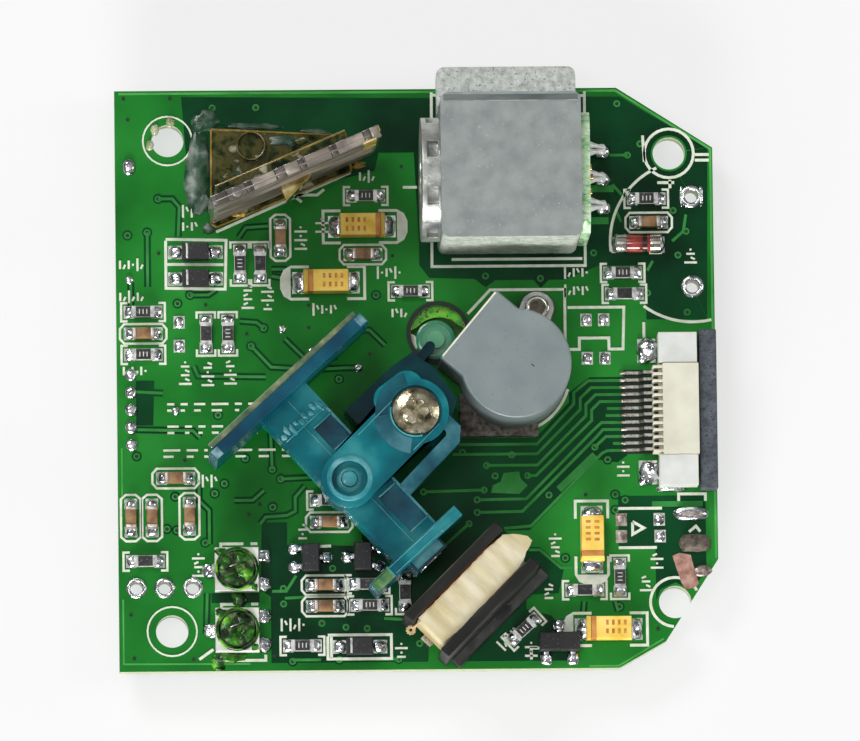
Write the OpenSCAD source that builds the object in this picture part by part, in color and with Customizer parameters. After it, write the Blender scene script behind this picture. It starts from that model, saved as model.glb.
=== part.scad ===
// Laser scanner board: a circuit board that carries a laser module, a collecting
// mirror, a swinging scan mirror with its drive coil, a shielded light detector
// and a flat-cable socket. X runs along the board, Y towards the laser module.

/* [Circuit board] */
// Board width along X
board_w = 42.5; // [42:0.1:44]
// Board depth along Y
board_d = 41.5; // [41:0.1:43]
// Board thickness
board_t = 1.6; // [1.2:0.1:2]
// Radius of the four mounting holes
hole_r = 1.15; // [0.8:0.05:1.2]
// Radius of the locating hole for the bracket peg
locating_hole_r = 2; // [1.6:0.1:2.1]
// Height of the parts under the board
underside_h = 1.7; // [1.6:0.1:2.5]

/* [Laser module] */
// Housing length along the beam
laser_l = 9.9; // [9.5:0.1:10.3]
// Housing width across the beam
laser_w = 10.3; // [10:0.1:10.5]
// Housing height above the board
laser_h = 9.5; // [9.4:0.1:11]
// Depth of the foot behind the housing
foot_d = 2.95; // [1.5:0.05:3.5]
// Radius of the notched focus ring
focus_r = 4.4; // [4.1:0.1:4.5]
// How far the focus ring stands out of the housing
focus_out = 1.3; // [0.8:0.1:2]

/* [Light detector] */
// Radius of the round part of the shield
shield_r = 3.9; // [3.6:0.1:3.9]
// Height of the shield
shield_h = 6.5; // [6:0.1:8]
// Width of the flat window side
window_side_w = 6.2; // [5.4:0.1:6.4]

/* [Scan mirror] */
// Height of the mirror's top edge above the board
mirror_top = 8.5; // [7.5:0.1:9.5]
// Length of the mirror's backing plate
plate_l = 14.5; // [12:0.1:15]
// Thickness of the mirror glass
glass_t = 0.45; // [0.3:0.05:0.7]
// Radius of the pivot pin
pin_r = 0.55; // [0.4:0.05:0.6]
// Play between the pin and the carrier
pin_play = 0.04; // [0.02:0.01:0.08]

/* [Collecting mirror] */
// Height of the collecting mirror's top edge
collector_top = 9; // [8:0.1:9.4]
// Length of the collecting mirror
collector_l = 13; // [12:0.1:13.4]

/* [Drive coil] */
// Length of the bobbin's flanges
flange_l = 9.2; // [8:0.1:9.2]
// Height of the bobbin's flanges
flange_h = 6.5; // [6:0.1:8]

/* [Cable socket] */
// Number of contacts
contact_count = 12; // [6:1:12]
// Distance between contacts
contact_pitch = 0.5; // [0.4:0.05:0.5]

/* [Hidden] */
$fn = 48;

// Places are given from the board's centre, with height 0 on its top face.
half_w = board_w / 2;
half_d = board_d / 2;
top_z = underside_h + board_t;
pad_t = 0.06;

// Outline corners that are cut off
rear_corner = [6.8, 4.35];
front_corner = [3.8, 7.7];
front_step = [7.1, 1.85];

// Holes
left_hole_x = -17.5;
left_hole_ys = [17.15, -17.9];
right_hole_x = 18.15;
right_hole_ys = [16, -16.1];
locating_hole = [1.6, 3.25];
peg_place = [1.4, 2.8];
header_hole_r = 0.45;
header_places = [[-20.0, -14.8], [-18.0, -14.8], [-16.0, -14.8]];
buzzer_hole_r = 0.45;
buzzer_places = [[19.7, 12.9], [19.7, 6.45]];

// Small parts: X, Y and turn, 0 along X and 90 along Y
resistor_places = [[-3.45, 13.1, 0], [-12.45, 8.3, 90], [-11, 8.3, 90],
    [-0.35, 6.25, 0], [-19.35, 4.9, 0], [-19.35, 1.85, 0], [-14.9, 3.3, 90],
    [-13.35, 3.3, 90], [-19.35, -12.9, 0], [-6.3, -8.65, 0], [-3.65, -14.65, 0],
    [-3.5, -16.15, 0], [-1, -15.25, 90], [-8.3, -19, 0], [7.4, -17.95, 42],
    [11.75, -15.2, 0], [14.25, -14.3, 90], [16.5, 12.75, 0], [14.75, 7.45, 0],
    [14.85, 5.95, 0]];
capacitor_places = [[-9.55, 10.15, 90], [-3.7, 8.9, 0], [-19.35, 3.35, 0],
    [-17.15, -7, 0], [-20.35, -9.8, 90], [-18.85, -9.8, 90], [-16.2, -9.7, 90],
    [-6.3, -10.2, 0], [-6.65, -14.7, 0], [-6.65, -16.2, 0], [16.65, 11.05, 0]];
// The turn puts the marked end of a tantalum capacitor at its own +X
tantalum_places = [[-3.75, 10.9, 0], [-6.35, 6.9, 180], [12.3, -11.6, 270],
    [13.4, -18, 180]];
diode_places = [[-15.6, 9.15, 0], [-15.6, 7.25, 0], [-4.25, -19.1, 180]];
glass_diode_place = [15.85, 9.45, 0];
// The turn puts the single terminal of a transistor at its own +X
transistor_places = [[-7.65, -12.75, 0], [-3.95, -12.7, 180]];
output_place = [9.9, -18.9, 90];
bare_pad_places = [[-16.8, 4.15], [-16.8, 2.45], [12.1, 4.1], [13.35, 4.1],
    [12.15, 1.35], [13.4, 1.35], [14.4, -10.2], [14.4, -11.4], [17.1, -10.2],
    [17.15, -11.4]];
test_pad_places = [[-20.25, 0.4], [-20.25, -0.85], [-20.25, -2.1],
    [-20.25, -3.35], [-20.25, -4.6], [-20.25, 15.3]];
test_pad_r = 0.45;
long_pad_place = [19.35, -9.8];

// Chip sizes
chip_l = 1.6;
chip_w = 0.8;
resistor_h = 0.45;
capacitor_h = 0.8;
tantalum_l = 3.2;
tantalum_w = 1.7;
tantalum_h = 1.6;
diode_l = 1.9;
diode_w = 1.25;
diode_h = 1;

// Trimmers
trimmer_places = [[-12.9, -13.6], [-12.9, -17.9]];
trimmer_side = 3.1;
trimmer_h = 1.2;
rotor_r = 1.3;
rotor_h = 0.95;
rotor_play = 0.05;
rotor_well = 0.6;

// Cable socket
socket_x = [17.1, 19.95];
socket_y = -2.5;
socket_l = 10.9;
socket_h = 2;
mouth_l = 7.2;
mouth_h = 0.4;
mouth_z = 0.7;
slider_l = 11.4;
slider_h = 1.5;

// Laser module
beam_y = 13.55;
beam_z = 4.75;
laser_x = 1.6;
housing_y = 14;
rear_overhang = housing_y + laser_w / 2 + foot_d - half_d;
foot_h = 1.5;
barrel_r = 3.6;
barrel_l = 6.5;
lens_r = 2.2;
diode_can_r = 2.8;
lead_r = 0.22;
lead_reach = 1;
lead_turns = [0, 120, 240];
driver_t = 0.65;
driver_w = 8.6;
driver_h = 8.3;
driver_x = laser_x + laser_l;
driver_pin_ys = [16.1, 14.1, 12.1];
driver_pin_reach = 1.45;

// Detector
shield_place = [6.85, 0.25];
window_turn = 140;
window_reach = 4.4;
shield_wall = 0.4;
rivet_place = [8.6, 4.9];
base_h = 0.6;
photodiode_x = 2.4;
photodiode_leg_ys = [-1.27, 1.27];

// Scan mirror; its own X runs from the pivot towards the coil
pivot = [-5, -7.85];
carrier_turn = -47.5;
plate_x = -7.1;
plate_t = 0.85;
plate_y = 1.1;
plate_bottom = 2.4;
arm_y = [-1.6, 2.45];
arm_z = [2.2, 5];
hub_r = 1.9;
hub_z = [2, 5.2];
rear_plate_x = 6.4;
rear_plate_t = 0.9;
rear_plate_y = [-4.05, 4.05];
rear_plate_z = [2.2, 6.4];
magnet_r = 1.1;
magnet_l = 1.1;
magnet_z = 3.6;
magnet_y = 0.45;
pocket_reach = 0.8;

// Bracket
screw_place = [-0.3, -3.15];
arm_r = 2;
bracket_z = [5.3, 6.5];
base_top = 3.6;
lower_arm_z = [1, 1.9];
head_r = 1.65;
head_seat = 6;
head_top = 6.95;
shank_r = 0.8;
shank_hole_r = 0.85;
nut_h = 1.2;
stop_w = 1;
stop_route = [[0.9, -3.3], [1.75, -3.8], [2.35, -4.4], [2.3, -5.1], [-1.1, -8.65]];

// Coil; its own X runs along the core, away from the magnet
coil_place = [1.95, -14.2];
coil_turn = -45;
flange_t = 0.85;
winding_l = 2.75;
outer_flange_t = 0.8;
ledge_t = 0.8;
ledge_h = 1.2;
ledge_y = [-4.05, 5.1];
core_size = [3, 1.2];
core_z = 3.25;

// Collecting mirror; its own X runs along the mirror
collector_place = [-8.75, 14.45];
collector_turn = 23;
collector_t = 0.95;
backing_t = 0.6;
collector_bottom = 1.4;

// Underside
mcu_place = [-9, 3];
mcu_side = 7;
amp_places = [[13, 7.5], [11.5, -7]];
amp_size = [4.9, 3.9];
crystal_place = [-9, -4.5];
under_chip_places = [[-3, 1, 90], [-3, 4, 90], [-14.5, -3.5, 0], [8, 7.5, 90],
    [17.5, 7.5, 90], [6.5, -6, 90], [-9, 9.5, 0], [-5, 9.5, 0]];

// Lifts what is drawn on the board's top face to its place in the part's frame
module on_board() translate([0, -rear_overhang / 2, top_z]) children();

module at(place, z = 0) {
    translate([place[0], place[1], z])
        rotate([0, 0, len(place) > 2 ? place[2] : 0])
            children();
}

// A box from one height to another, centred on X and Y
module slab(x, y, z0, z1) {
    translate([-x / 2, -y / 2, z0])
        cube([x, y, z1 - z0]);
}

// A box given by its ranges
module block(x, y, z) {
    translate([x[0], y[0], z[0]])
        cube([x[1] - x[0], y[1] - y[0], z[1] - z[0]]);
}

// An upright plate with rounded corners, centred on X and Y
module round_slab(x, y, r, z0, z1) {
    slab(x - 2 * r, y, z0, z1);
    slab(x, y - 2 * r, z0, z1);
    for (sx = [-1, 1], sy = [-1, 1])
        translate([sx * (x / 2 - r), sy * (y / 2 - r), z0])
            cylinder(r = r, h = z1 - z0);
}

// A rod along X
module rod(r, x0, x1) {
    translate([x0, 0, 0])
        rotate([0, 90, 0])
            cylinder(r = r, h = x1 - x0);
}

module disc(r, z0, z1) {
    translate([0, 0, z0])
        cylinder(r = r, h = z1 - z0);
}

// A bar with round ends between two places
module bar(a, b, r, z0, z1) {
    reach = norm([b[0] - a[0], b[1] - a[1]]);
    turn = atan2(b[1] - a[1], b[0] - a[0]);
    translate([a[0], a[1], 0])
        rotate([0, 0, turn]) {
            disc(r, z0, z1);
            block([0, reach], [-r, r], [z0, z1]);
            translate([reach, 0, 0])
                disc(r, z0, z1);
        }
}

// Outline of a flat strip of one width that follows a route
function left_of(v) = [-v[1], v[0]] / norm(v);
function side_of(route, i) = left_of(route[i + 1] - route[i]);
function corner_of(route, i) =
    i == 0 ? side_of(route, 0)
    : i == len(route) - 1 ? side_of(route, i - 1)
    : let (sum = side_of(route, i - 1) + side_of(route, i))
        sum / (sum * side_of(route, i));
function strip_outline(route, w) = concat(
    [for (i = [0 : len(route) - 1]) route[i] + corner_of(route, i) * w / 2],
    [for (i = [len(route) - 1 : -1 : 0]) route[i] - corner_of(route, i) * w / 2]);

// ---------------------------------------------------------------- board

module board_outline() {
    polygon([[-half_w, -half_d],
        [half_w - front_step[0], -half_d],
        [half_w - front_corner[0], -half_d + front_step[1]],
        [half_w, -half_d + front_corner[1]],
        [half_w, half_d - rear_corner[1]],
        [half_w - rear_corner[0], half_d],
        [-half_w, half_d]]);
}

module drill(r) translate([0, 0, -board_t - 1]) cylinder(r = r, h = board_t + 2);

module circuit_board() {
    color([0.13, 0.45, 0.17]) on_board() difference() {
        translate([0, 0, -board_t])
            linear_extrude(board_t)
                board_outline();
        for (y = left_hole_ys)
            at([left_hole_x, y]) drill(hole_r);
        for (y = right_hole_ys)
            at([right_hole_x, y]) drill(hole_r);
        at(locating_hole) drill(locating_hole_r);
        at(screw_place) drill(shank_hole_r);
        for (p = header_places)
            at(p) drill(header_hole_r);
        for (p = buzzer_places)
            at(p) drill(buzzer_hole_r);
    }
}

module end_pads(l, w, size) {
    for (s = [-1, 1])
        translate([s * l / 2, 0, 0])
            slab(size, w, 0, pad_t);
}

module ring_pad(outer, inner) {
    difference() {
        disc(outer, 0, pad_t);
        disc(inner, -1, 1);
    }
}

module solder_pads() {
    chip_pad_w = 0.9;
    chip_pad_l = 0.8;
    bare_pad_h = 0.2;
    test_pad_h = 0.25;
    header_pad_r = header_hole_r + 0.25;
    buzzer_pad_r = buzzer_hole_r + 0.3;
    long_pad = [2.4, 0.9, 0.3];
    color([0.8, 0.8, 0.82]) on_board() {
        for (p = concat(resistor_places, capacitor_places))
            at(p) end_pads(chip_l + 0.1, chip_pad_w, chip_pad_l);
        for (p = tantalum_places)
            at(p) end_pads(tantalum_l + 0.3, 1.5, 1.2);
        for (p = diode_places)
            at(p) end_pads(diode_l + 1, chip_pad_w, chip_pad_l);
        at(glass_diode_place) end_pads(chip_l + 1.4, 1.1, 0.7);
        for (p = bare_pad_places)
            at(p) slab(chip_pad_l, chip_pad_w, 0, bare_pad_h);
        for (p = test_pad_places)
            at(p) disc(test_pad_r, 0, test_pad_h);
        for (p = header_places)
            at(p) ring_pad(header_pad_r, header_hole_r);
        for (p = buzzer_places)
            at(p) ring_pad(buzzer_pad_r, buzzer_hole_r);
        for (y = driver_pin_ys)
            at([driver_x + driver_t + driver_pin_reach - 0.2, y])
                slab(chip_pad_w, chip_pad_w, 0, pad_t);
        at(long_pad_place) slab(long_pad[0], long_pad[1], 0, long_pad[2]);
    }
}

// ---------------------------------------------------------- small parts

module chip_resistors() {
    color([0.2, 0.2, 0.2]) on_board()
        for (p = resistor_places)
            at(p) slab(chip_l, chip_w, pad_t, pad_t + resistor_h);
}

module chip_capacitors() {
    color([0.59, 0.45, 0.31]) on_board()
        for (p = capacitor_places)
            at(p) slab(chip_l, chip_w, pad_t, pad_t + capacitor_h);
}

// A moulded block whose marked upper edge is bevelled
module tantalum_capacitors() {
    bevel = 0.35;
    color([0.88, 0.72, 0.33]) on_board()
        for (p = tantalum_places)
            at(p, pad_t)
                rotate([90, 0, 0])
                    translate([0, 0, -tantalum_w / 2])
                        linear_extrude(tantalum_w)
                            polygon([[-tantalum_l / 2, 0], [tantalum_l / 2, 0],
                                [tantalum_l / 2, tantalum_h - bevel],
                                [tantalum_l / 2 - bevel, tantalum_h],
                                [-tantalum_l / 2, tantalum_h]]);
}

// A flat terminal under each end of a small package
module diode() {
    slab(diode_l, diode_w, pad_t + 0.15, pad_t + diode_h);
    for (s = [-1, 1])
        translate([s * (diode_l / 2 + 0.1), 0, 0])
            slab(0.6, 0.3, pad_t, pad_t + 0.15);
}

module signal_diodes() {
    color([0.15, 0.15, 0.15]) on_board()
        for (p = diode_places)
            at(p) diode();
}

module glass_diode() {
    glass_r = 0.7;
    color([0.55, 0.15, 0.1]) on_board()
        at(glass_diode_place, pad_t + glass_r) {
            rod(glass_r, -1.2, 1.2);
            for (s = [-1, 1])
                translate([s * 1.45, 0, 0])
                    rod(glass_r, -0.25, 0.25);
        }
}

// A three-terminal package: two terminals on one side and one on the other
module transistor(l, w, h, spread) {
    slab(w, l, pad_t + 0.1, pad_t + h);
    for (t = [[1, 0], [-1, spread], [-1, -spread]])
        translate([t[0] * (w / 2 + 0.2), t[1], 0])
            slab(0.4, 0.3, pad_t, pad_t + 0.25);
}

module small_transistors() {
    color([0.15, 0.15, 0.15]) on_board()
        for (p = transistor_places)
            at(p) transistor(2, 1.3, 1, 0.65);
}

module output_transistor() {
    color([0.15, 0.15, 0.15]) on_board()
        at(output_place) transistor(2.9, 1.4, 1.05, 0.95);
}

// -------------------------------------------------------------- trimmers

module trimmer_body(place) {
    color([0.9, 0.9, 0.88]) on_board() at(place) difference() {
        slab(trimmer_side, trimmer_side, pad_t, trimmer_h);
        disc(rotor_r + rotor_play, trimmer_h - rotor_well, trimmer_h + 1);
    }
}

module trimmer_rotor(place) {
    bottom = trimmer_h - rotor_well + 0.02;
    top = bottom + rotor_h;
    slot_w = 0.4;
    slot_l = 1.9;
    slot_z = top - 0.4;
    color([0.55, 0.55, 0.5]) on_board() at(place) difference() {
        disc(rotor_r, bottom, top);
        rotate([0, 0, 20]) {
            slab(slot_l, slot_w, slot_z, top + 1);
            slab(slot_w, slot_l, slot_z, top + 1);
        }
    }
}

module trimmer_1_body() trimmer_body(trimmer_places[0]);
module trimmer_2_body() trimmer_body(trimmer_places[1]);
module trimmer_1_rotor() trimmer_rotor(trimmer_places[0]);
module trimmer_2_rotor() trimmer_rotor(trimmer_places[1]);

module trimmer_terminals() {
    side = trimmer_side / 2 + 0.35;
    color([0.85, 0.85, 0.87]) on_board()
        for (p = trimmer_places, t = [[-1, 0], [1, 1], [1, -1]])
            at(p) translate([t[0] * side, t[1], 0])
                slab(0.7, 0.9, 0, 0.5);
}

// ---------------------------------------------------------- cable socket

contact_ys = [for (i = [0 : contact_count - 1])
    socket_y + (i - (contact_count - 1) / 2) * contact_pitch];

module socket_housing() {
    mid_x = (socket_x[0] + socket_x[1]) / 2;
    deep = socket_x[1] - socket_x[0];
    color([0.89, 0.88, 0.8]) on_board() difference() {
        translate([mid_x, socket_y, 0])
            slab(deep, socket_l, 0, socket_h);
        // mouth for the flat cable and the slider's tongue
        block([socket_x[0] + 0.8, socket_x[1] + 1],
            [socket_y - mouth_l / 2, socket_y + mouth_l / 2],
            [mouth_z, mouth_z + mouth_h]);
        for (y = contact_ys)
            block([socket_x[0] - 1, socket_x[0] + 0.5], [y - 0.12, y + 0.12],
                [0.1, socket_h + 1]);
    }
}

module socket_contacts() {
    color([0.85, 0.83, 0.78]) on_board()
        for (y = contact_ys) {
            block([socket_x[0] - 1.3, socket_x[0] + 0.4],
                [y - 0.1, y + 0.1], [0.1, 0.3]);
            block([socket_x[0] - 2.6, socket_x[0] - 1.3],
                [y - 0.11, y + 0.11], [0, 0.2]);
            block([socket_x[0] + 0.1, socket_x[0] + 0.4],
                [y - 0.1, y + 0.1], [0.3, socket_h - 0.1]);
        }
}

module socket_slider() {
    gap = 0.05;
    color([0.29, 0.31, 0.34]) on_board() {
        block([socket_x[1] + gap, half_w],
            [socket_y - slider_l / 2, socket_y + slider_l / 2],
            [0.1, slider_h]);
        block([socket_x[1] - 1.4, socket_x[1] + gap],
            [socket_y - mouth_l / 2 + gap, socket_y + mouth_l / 2 - gap],
            [mouth_z + gap, mouth_z + mouth_h - gap]);
    }
}

module socket_solder_tabs() {
    color([0.82, 0.82, 0.84]) on_board()
        for (s = [-1, 1])
            translate([0, socket_y + s * (socket_l / 2 - 1.1), 0])
                block([socket_x[0] - 1.4, socket_x[0]], [-0.9, 0.9], [0, 0.6]);
}

// ---------------------------------------------------------- laser module

// Places what is drawn along X on the laser beam
module on_beam() translate([0, beam_y, beam_z]) children();

module laser_housing() {
    edge_r = 0.6;
    lap = 1;
    middle_x = laser_x + laser_l / 2;
    color([0.6, 0.62, 0.62]) on_board() difference() {
        union() {
            translate([middle_x, housing_y, 0])
                round_slab(laser_l, laser_w, edge_r, 0, laser_h);
            translate([middle_x, housing_y + laser_w / 2 + (foot_d - lap) / 2, 0])
                round_slab(laser_l, foot_d + lap, edge_r, 0, foot_h);
        }
        on_beam() {
            rod(barrel_r, laser_x - 1, laser_x + barrel_l);
            rod(diode_can_r, laser_x, driver_x + 1);
        }
    }
}

module laser_barrel() {
    front = laser_x - focus_out + 0.3;
    color([0.62, 0.64, 0.64]) on_board() on_beam() difference() {
        rod(barrel_r, front, laser_x + barrel_l - 0.5);
        rod(lens_r, front - 1, laser_x + 1.5);
        rod(lens_r + 0.5, laser_x + 1.5, laser_x + barrel_l);
    }
}

module focus_ring() {
    notch_w = 1.3;
    front = laser_x - focus_out;
    color([0.6, 0.62, 0.62]) on_board() on_beam() difference() {
        rod(focus_r, front, laser_x);
        rod(barrel_r, front + 0.3, laser_x + 1);
        rod(lens_r - 0.4, front - 1, laser_x);
        for (i = [0 : 7])
            rotate([i * 45 + 22.5, 0, 0])
                block([front + 0.35, laser_x - 0.15],
                    [-notch_w / 2, notch_w / 2], [focus_r - 0.45, focus_r + 1]);
    }
}

module collimating_lens() {
    seat = laser_x + 1.5;
    color([0.8, 0.85, 0.9, 0.5]) on_board() on_beam() {
        rod(lens_r + 0.5, seat, seat + 1.1);
        translate([seat, 0, 0])
            intersection() {
                translate([1.6, 0, 0]) sphere(r = 2.4);
                rod(1.7, -1, 0);
            }
    }
}

module lens_spring() {
    wire_r = 0.15;
    coil_r = lens_r + 0.3;
    start = laser_x + 2.6 + wire_r;
    step = 0.55;
    color([0.75, 0.75, 0.76]) on_board() on_beam()
        for (i = [0 : 5])
            translate([start + i * step, 0, 0])
                rotate([0, 90, 0])
                    rotate_extrude()
                        translate([coil_r, 0])
                            circle(r = wire_r, $fn = 24);
}

module laser_diode() {
    seat = driver_x - 2.2;
    color([0.78, 0.7, 0.45]) on_board() on_beam() {
        rod(diode_can_r, seat, seat + 1.2);
        rod(1.8, seat - 1.6, seat);
        for (t = lead_turns)
            rotate([t, 0, 0])
                translate([0, 0, lead_reach])
                    rod(lead_r, seat + 1.2, driver_x + driver_t + 0.3);
    }
}

module laser_driver_board() {
    chamfer = 0.8;
    w = driver_w / 2;
    bottom = 0.3 - beam_z;
    top = bottom + driver_h;
    color([0.35, 0.65, 0.35]) on_board() on_beam() difference() {
        translate([driver_x, 0, 0])
            rotate([90, 0, 90])
                linear_extrude(driver_t)
                    polygon([[-w + chamfer, bottom], [w - chamfer, bottom],
                        [w, bottom + chamfer], [w, top - chamfer],
                        [w - chamfer, top], [-w + chamfer, top],
                        [-w, top - chamfer], [-w, bottom + chamfer]]);
        for (t = lead_turns)
            rotate([t, 0, 0])
                translate([0, 0, lead_reach])
                    rod(lead_r, driver_x - 1, driver_x + driver_t + 1);
    }
}

module driver_board_pins() {
    pin = 0.2;
    out = driver_x + driver_t;
    end = out + driver_pin_reach;
    level = 1.6;
    color([0.85, 0.85, 0.87]) on_board()
        for (y = driver_pin_ys) {
            block([out, end], [y - pin, y + pin], [level - pin, level + pin]);
            block([end - 2 * pin, end], [y - pin, y + pin], [pad_t, level - pin]);
        }
}

// ---------------------------------------------------------- light detector

// The shield's outline seen from above, with its flat side towards +X
module shield_outline(r, w, reach) {
    circle(r = r);
    translate([0, -w / 2])
        square([reach, w]);
}

module on_shield() at([shield_place[0], shield_place[1], window_turn]) children();

module detector_shield() {
    window_w = window_side_w - 1.6;
    window_z = [1.2, shield_h - 1.1];
    color([0.53, 0.57, 0.58]) on_board() on_shield() difference() {
        translate([0, 0, base_h])
            linear_extrude(shield_h - base_h)
                shield_outline(shield_r, window_side_w, window_reach);
        translate([0, 0, base_h - 1])
            linear_extrude(shield_h - base_h + 1 - shield_wall)
                shield_outline(shield_r - shield_wall,
                    window_side_w - 2 * shield_wall, window_reach - shield_wall);
        block([window_reach - 1, window_reach + 1],
            [-window_w / 2, window_w / 2], window_z);
    }
}

module red_filter() {
    w = window_side_w - 2 * shield_wall - 0.1;
    inside = window_reach - shield_wall;
    color([0.6, 0.08, 0.06]) on_board() on_shield()
        block([inside - 0.5, inside], [-w / 2, w / 2],
            [base_h, shield_h - shield_wall]);
}

module photodiode() {
    body_w = 4;
    body_z = [1, 5.2];
    color([0.12, 0.12, 0.14]) on_board() on_shield() {
        block([photodiode_x - 0.45, photodiode_x + 0.45],
            [-body_w / 2, body_w / 2], body_z);
        for (y = photodiode_leg_ys)
            block([photodiode_x - 0.15, photodiode_x + 0.15],
                [y - 0.25, y + 0.25], [0, body_z[0]]);
    }
}

// A cast plate under the shield with an ear for the rivet
module shield_base() {
    ear_r = 1.25;
    front_y = [-4.25, -1.2];
    color([0.47, 0.44, 0.4]) on_board() difference() {
        union() {
            at(shield_place) disc(shield_r, 0, base_h);
            on_shield() block([0, window_reach],
                [-window_side_w / 2, window_side_w / 2], [0, base_h]);
            bar(shield_place, rivet_place, ear_r, 0, base_h);
            block([3, 8.6], front_y, [0, base_h]);
        }
        at(rivet_place) disc(0.45, -1, 1);
        // opening for the photodiode's terminals
        on_shield() block([-1, window_reach - 1], [-2.2, 2.2], [-1, 1]);
    }
}

module shield_rivet() {
    color([0.7, 0.68, 0.62]) on_board() at(rivet_place) {
        disc(0.45, 0, base_h);
        difference() {
            disc(0.75, base_h, base_h + 0.3);
            disc(0.35, base_h + 0.15, base_h + 1);
        }
    }
}

// ------------------------------------------------------ collecting mirror

module on_collector() {
    at([collector_place[0], collector_place[1], collector_turn]) children();
}

module collecting_mirror() {
    half = collector_l / 2;
    end_bevel = 0.5;
    color([0.5, 0.46, 0.45]) on_board() on_collector()
        translate([0, 0, collector_bottom])
            linear_extrude(collector_top - collector_bottom)
                polygon([[-half, -collector_t], [half - end_bevel, -collector_t],
                    [half, -collector_t / 2], [half, 0], [-half, 0]]);
}

// A small flat mirror that turns the laser beam towards the scan mirror
module fold_mirror() {
    w = 1.2;
    color([0.75, 0.75, 0.8]) on_board()
        on_collector()
            translate([-0.2, -collector_t, 0])
                translate([0, 0, beam_z - w])
                    linear_extrude(2 * w)
                        polygon([[-w, 0], [w, 0], [w, -0.15], [-w, -1.15]]);
}

module mirror_bracket() {
    plate_h = 1;
    rear = [-14.4, 17.9];
    right = [-4.8, 17.35];
    left = [-14.5, 11];
    boss = [-11.6, 16.6];
    boss_r = 1.05;
    wall_x = [-5.8, 4.2];
    color([0.6, 0.5, 0.2, 0.6]) on_board() {
        linear_extrude(plate_h)
            polygon([left, [-14.1, 10.6], [-4.4, 14.6], right, rear]);
        at(boss) disc(boss_r, plate_h, plate_h + 0.3);
        on_collector() {
            block(wall_x, [0, backing_t], [plate_h, collector_top - 0.6]);
            block([wall_x[0], wall_x[1] - 0.2], [-collector_t, 0],
                [plate_h, collector_bottom]);
            // gussets behind the wall
            for (x = [-4.6, 1.2])
                translate([x, backing_t, plate_h])
                    rotate([90, 0, 90])
                        linear_extrude(0.7)
                            polygon([[0, 0], [1.8, 0], [0, 4.5]]);
        }
    }
}

module mirror_adhesive() {
    color([0.8, 0.8, 0.75, 0.5]) on_board() {
        difference() {
            bar([-14.9, 16.8], [-14.8, 12.2], 0.9, 0, 0.35);
            block([-14.5, -10], [10, 19], [-1, 1]);
        }
        difference() {
            bar([-12.6, 17.95], [-7.2, 17.75], 0.6, 0, 0.3);
            linear_extrude(2)
                polygon([[-14.4, 17.9], [-4.8, 17.35], [-4.8, 16], [-14.4, 16]]);
        }
    }
}

// ---------------------------------------------------------- mirror bracket

module pivot_bracket() {
    recess_r = 1.3;
    floor_z = 5.9;
    stop_z = [5.3, 6.4];
    column_r = 2.35;
    screw_recess_r = 1.85;
    rib = [[-2.1, -2.3], [-0.9, -1.4]];
    rib_r = 1.15;
    color([0.2, 0.5, 0.58, 0.9]) on_board() difference() {
        union() {
            bar(pivot, screw_place, arm_r, bracket_z[0], bracket_z[1]);
            at(screw_place) disc(column_r, base_top, bracket_z[1]);
            bar(rib[0], rib[1], rib_r, base_top, bracket_z[1]);
            translate([0, 0, stop_z[0]])
                linear_extrude(stop_z[1] - stop_z[0])
                    polygon(strip_outline(stop_route, stop_w));
        }
        at(pivot) disc(recess_r, floor_z, 10);
        at(pivot) disc(pin_r, 0, 10);
        at(screw_place) disc(shank_hole_r, 0, 10);
        at(screw_place) disc(screw_recess_r, head_seat, 10);
    }
}

module bracket_base() {
    peg_r = 1.35;
    peg_top = -0.3;
    nub_r = 0.65;
    nub_h = 0.25;
    finger_r = 0.35;
    finger_end = [0.95, 2.15];
    finger_top = 1.3;
    lower_arm_r = 1.6;
    color([0, 0.3, 0.37]) on_board() difference() {
        union() {
            linear_extrude(base_top)
                polygon([[-5.2, -2.7], [-4.3, -3.65], [-2.7, -2.9], [-1.4, -5.2],
                    [1, -5.2], [2.2, -3.6], [2.75, -2], [1.2, 0.3], [0.35, 0.85],
                    [-0.4, 1.45], [-1.9, 0.4]]);
            bar([-0.1, 0.9], finger_end, finger_r, 0.05, finger_top);
            at(finger_end) disc(finger_r, -1, finger_top);
            at(peg_place) disc(peg_r, -board_t, peg_top);
            at(peg_place) disc(nub_r, peg_top, peg_top + nub_h);
            bar(pivot, screw_place, lower_arm_r, lower_arm_z[0], lower_arm_z[1]);
        }
        at(screw_place) disc(shank_hole_r, -5, 10);
        at(pivot) disc(pin_r, lower_arm_z[0] + 0.3, 10);
    }
}

module bracket_screw() {
    lobe_r = 0.3;
    lobe_reach = 0.62;
    recess_r = 0.6;
    recess_z = head_top - 0.45;
    dome_r = 3.6;
    color([0.78, 0.77, 0.73]) on_board() at(screw_place) difference() {
        union() {
            intersection() {
                disc(head_r, head_seat, head_top);
                translate([0, 0, head_top - dome_r]) sphere(r = dome_r, $fn = 96);
            }
            disc(shank_r, -board_t - nut_h - 0.2, head_seat);
        }
        disc(recess_r, recess_z, 10);
        for (i = [0 : 5])
            rotate([0, 0, i * 60])
                translate([lobe_reach, 0, 0])
                    disc(lobe_r, recess_z, 10);
    }
}

module bracket_nut() {
    color([0.75, 0.74, 0.7]) on_board() at(screw_place) difference() {
        translate([0, 0, -board_t - nut_h])
            cylinder(r = 1.85, h = nut_h, $fn = 6);
        disc(shank_r, -10, 10);
    }
}

module pivot_pin() {
    color([0.7, 0.7, 0.7]) on_board()
        at(pivot) disc(pin_r, lower_arm_z[0] + 0.3, 6.15);
}

// ------------------------------------------------------ scan mirror carrier

module on_carrier() at([pivot[0], pivot[1], carrier_turn]) children();

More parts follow.
